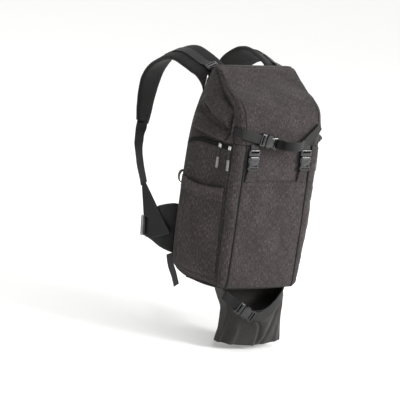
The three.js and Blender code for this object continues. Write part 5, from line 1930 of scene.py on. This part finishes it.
# %% Zip pulls
for side, sign in zip(SIDES, (-1, 1)):
    for where, fore in (("rear", 106.0), ("front", 130.0)):
        y, z = zip_line((133.0 - fore) / 119.0)
        y, z = float(y), float(z)
        lean = math.atan2(40.0, 133.0)
        out = np.array([sign * math.cos(lean), -math.sin(lean), 0.0])
        foot = np.array([sign * float(side_out(y, z, 2.6)), y, z])
        body_part = tile("slider", rounded_outline(11, 8, 2.5), 3.6, frame_at(foot, (0, 0, -1), out), nickel)
        over_slider = frame_at(foot + out * 3.2, (0, 0, -1), out)
        bridge = tile("bridge", rounded_outline(8, 2.2, 0.9), 2.6, over_slider, nickel)
        hang = foot + out * 3.4
        sway = 1.0 if where == "rear" else -1.4
        drop = [(0, -3), (sway * 0.4, -12), (sway, -26), (sway * 1.5, -38), (sway * 1.8, -50)]
        route = np.array([hang + (0, dy, dz) for dy, dz in drop])
        wides = [np.cross(UP, out)] * 5
        upper = band("cord", route[:3], wides[:3], 4.4, 3.2, cord_dark, kind="full", step=1.5)
        lower = band("cord_end", route[2:], wides[2:], 5.6, 4.0, cord_light, kind="full", step=1.5)
        pull = joined(f"side_zip_pull_{where}_{side}", [body_part, bridge, upper, lower])
        dress(pull, "zip_metal", f"zip_pull_{where}_{side}")

# %% Back zip pull, belt hardware and lifter adjusters
place = frame_at((-110.3, 2.3, 438), (-0.53, 0, -0.85), (-0.7, 0.7, 0))
outline = rounded_outline(34, 4.6, 2.0)
pull = tile("back_zip_pull_plate", outline, 2.6, place, nickel, slots=[(-11, 0, 8, 1.8, 0.0)])
dress(sharpen(pull), "zip_metal", "back_zip_pull")


def ladder_lock(name, length, width, thick, place, node, slots):
    piece = tile(name, rounded_outline(length, width, 2.6), thick, place, acetal, slots=slots)
    return dress(sharpen(piece), "buckle_plastic", node)


a, b = strap_points(LIFTER_START)[1:3]
lifter_forward = b - a
lifter_out = np.cross(lifter_forward, strap_wides(LIFTER_START)[2])
lifter_at = (a + b) / 2 + lifter_out / np.linalg.norm(lifter_out) * 1.6
c, d = belt_points[0], belt_points[1]
belt_forward = d - c
belt_out = np.array([-belt_forward[1], belt_forward[0], 0.0])
belt_out /= np.linalg.norm(belt_out)
belt_at = (c + d) / 2 + belt_out * 1.4
flip = np.array([-1.0, 1.0, 1.0])
for side in SIDES:
    turn = np.ones(3) if side == "left" else flip
    slots = [(-4, 0, 3, 21, 0.0), (4, 0, 3, 21, 0.0)]
    place = frame_at(lifter_at * turn, lifter_forward * turn, lifter_out * turn)
    ladder_lock(f"lifter_ladder_lock_{side}", 16, 28.4, 3.2, place, f"lifter_adjuster_{side}", slots)
    slots = [(-8, 0, 4, 39, 0.0), (8, 0, 4, 39, 0.0)]
    place = frame_at(belt_at * turn, belt_forward * turn, belt_out * turn)
    ladder_lock(f"belt_ladder_lock_{side}", 26, 46.4, 4.2, place, f"belt_slider_{side}", slots)

place = frame_at((0, 227 - 4.5, 56), (1, 0, 0), (0, 1, 0))
clasp_slots = [(sx * 26, 0, 3.4, 39, 0.45) for sx in (-1, 1)]
clasp_slots += [(sx * 8, sy * 21, 16, 4, 0.3) for sx in (-1, 1) for sy in (-1, 1)]
outline = rounded_outline(64.8, 46.4, 8, waist=2.5)
clasp = tile("belt_clasp", outline, 10, place, acetal, slots=clasp_slots, dome=1.0)
dress(sharpen(clasp), "buckle_plastic", "belt_buckle")

# %% [markdown]
# ## Ground

# %% Ground


def make_ground():
    """A wide, flat, pale ground under the pouch."""
    half, level = 30.0, -0.62
    corners = [(-half, -half, level), (half, -half, level), (half, half, level), (-half, half, level)]
    mesh = bpy.data.meshes.new("ground")
    mesh.from_pydata(corners, [], [[0, 1, 2, 3]])
    material, _, shader = new_material("pale_paper_ground")
    shader.inputs["Base Color"].default_value = linear("#fbfbfa")
    shader.inputs["Roughness"].default_value = 0.9
    mesh.materials.append(material)
    ground = bpy.data.objects.new("ground", mesh)
    collection.objects.link(ground)


make_ground()
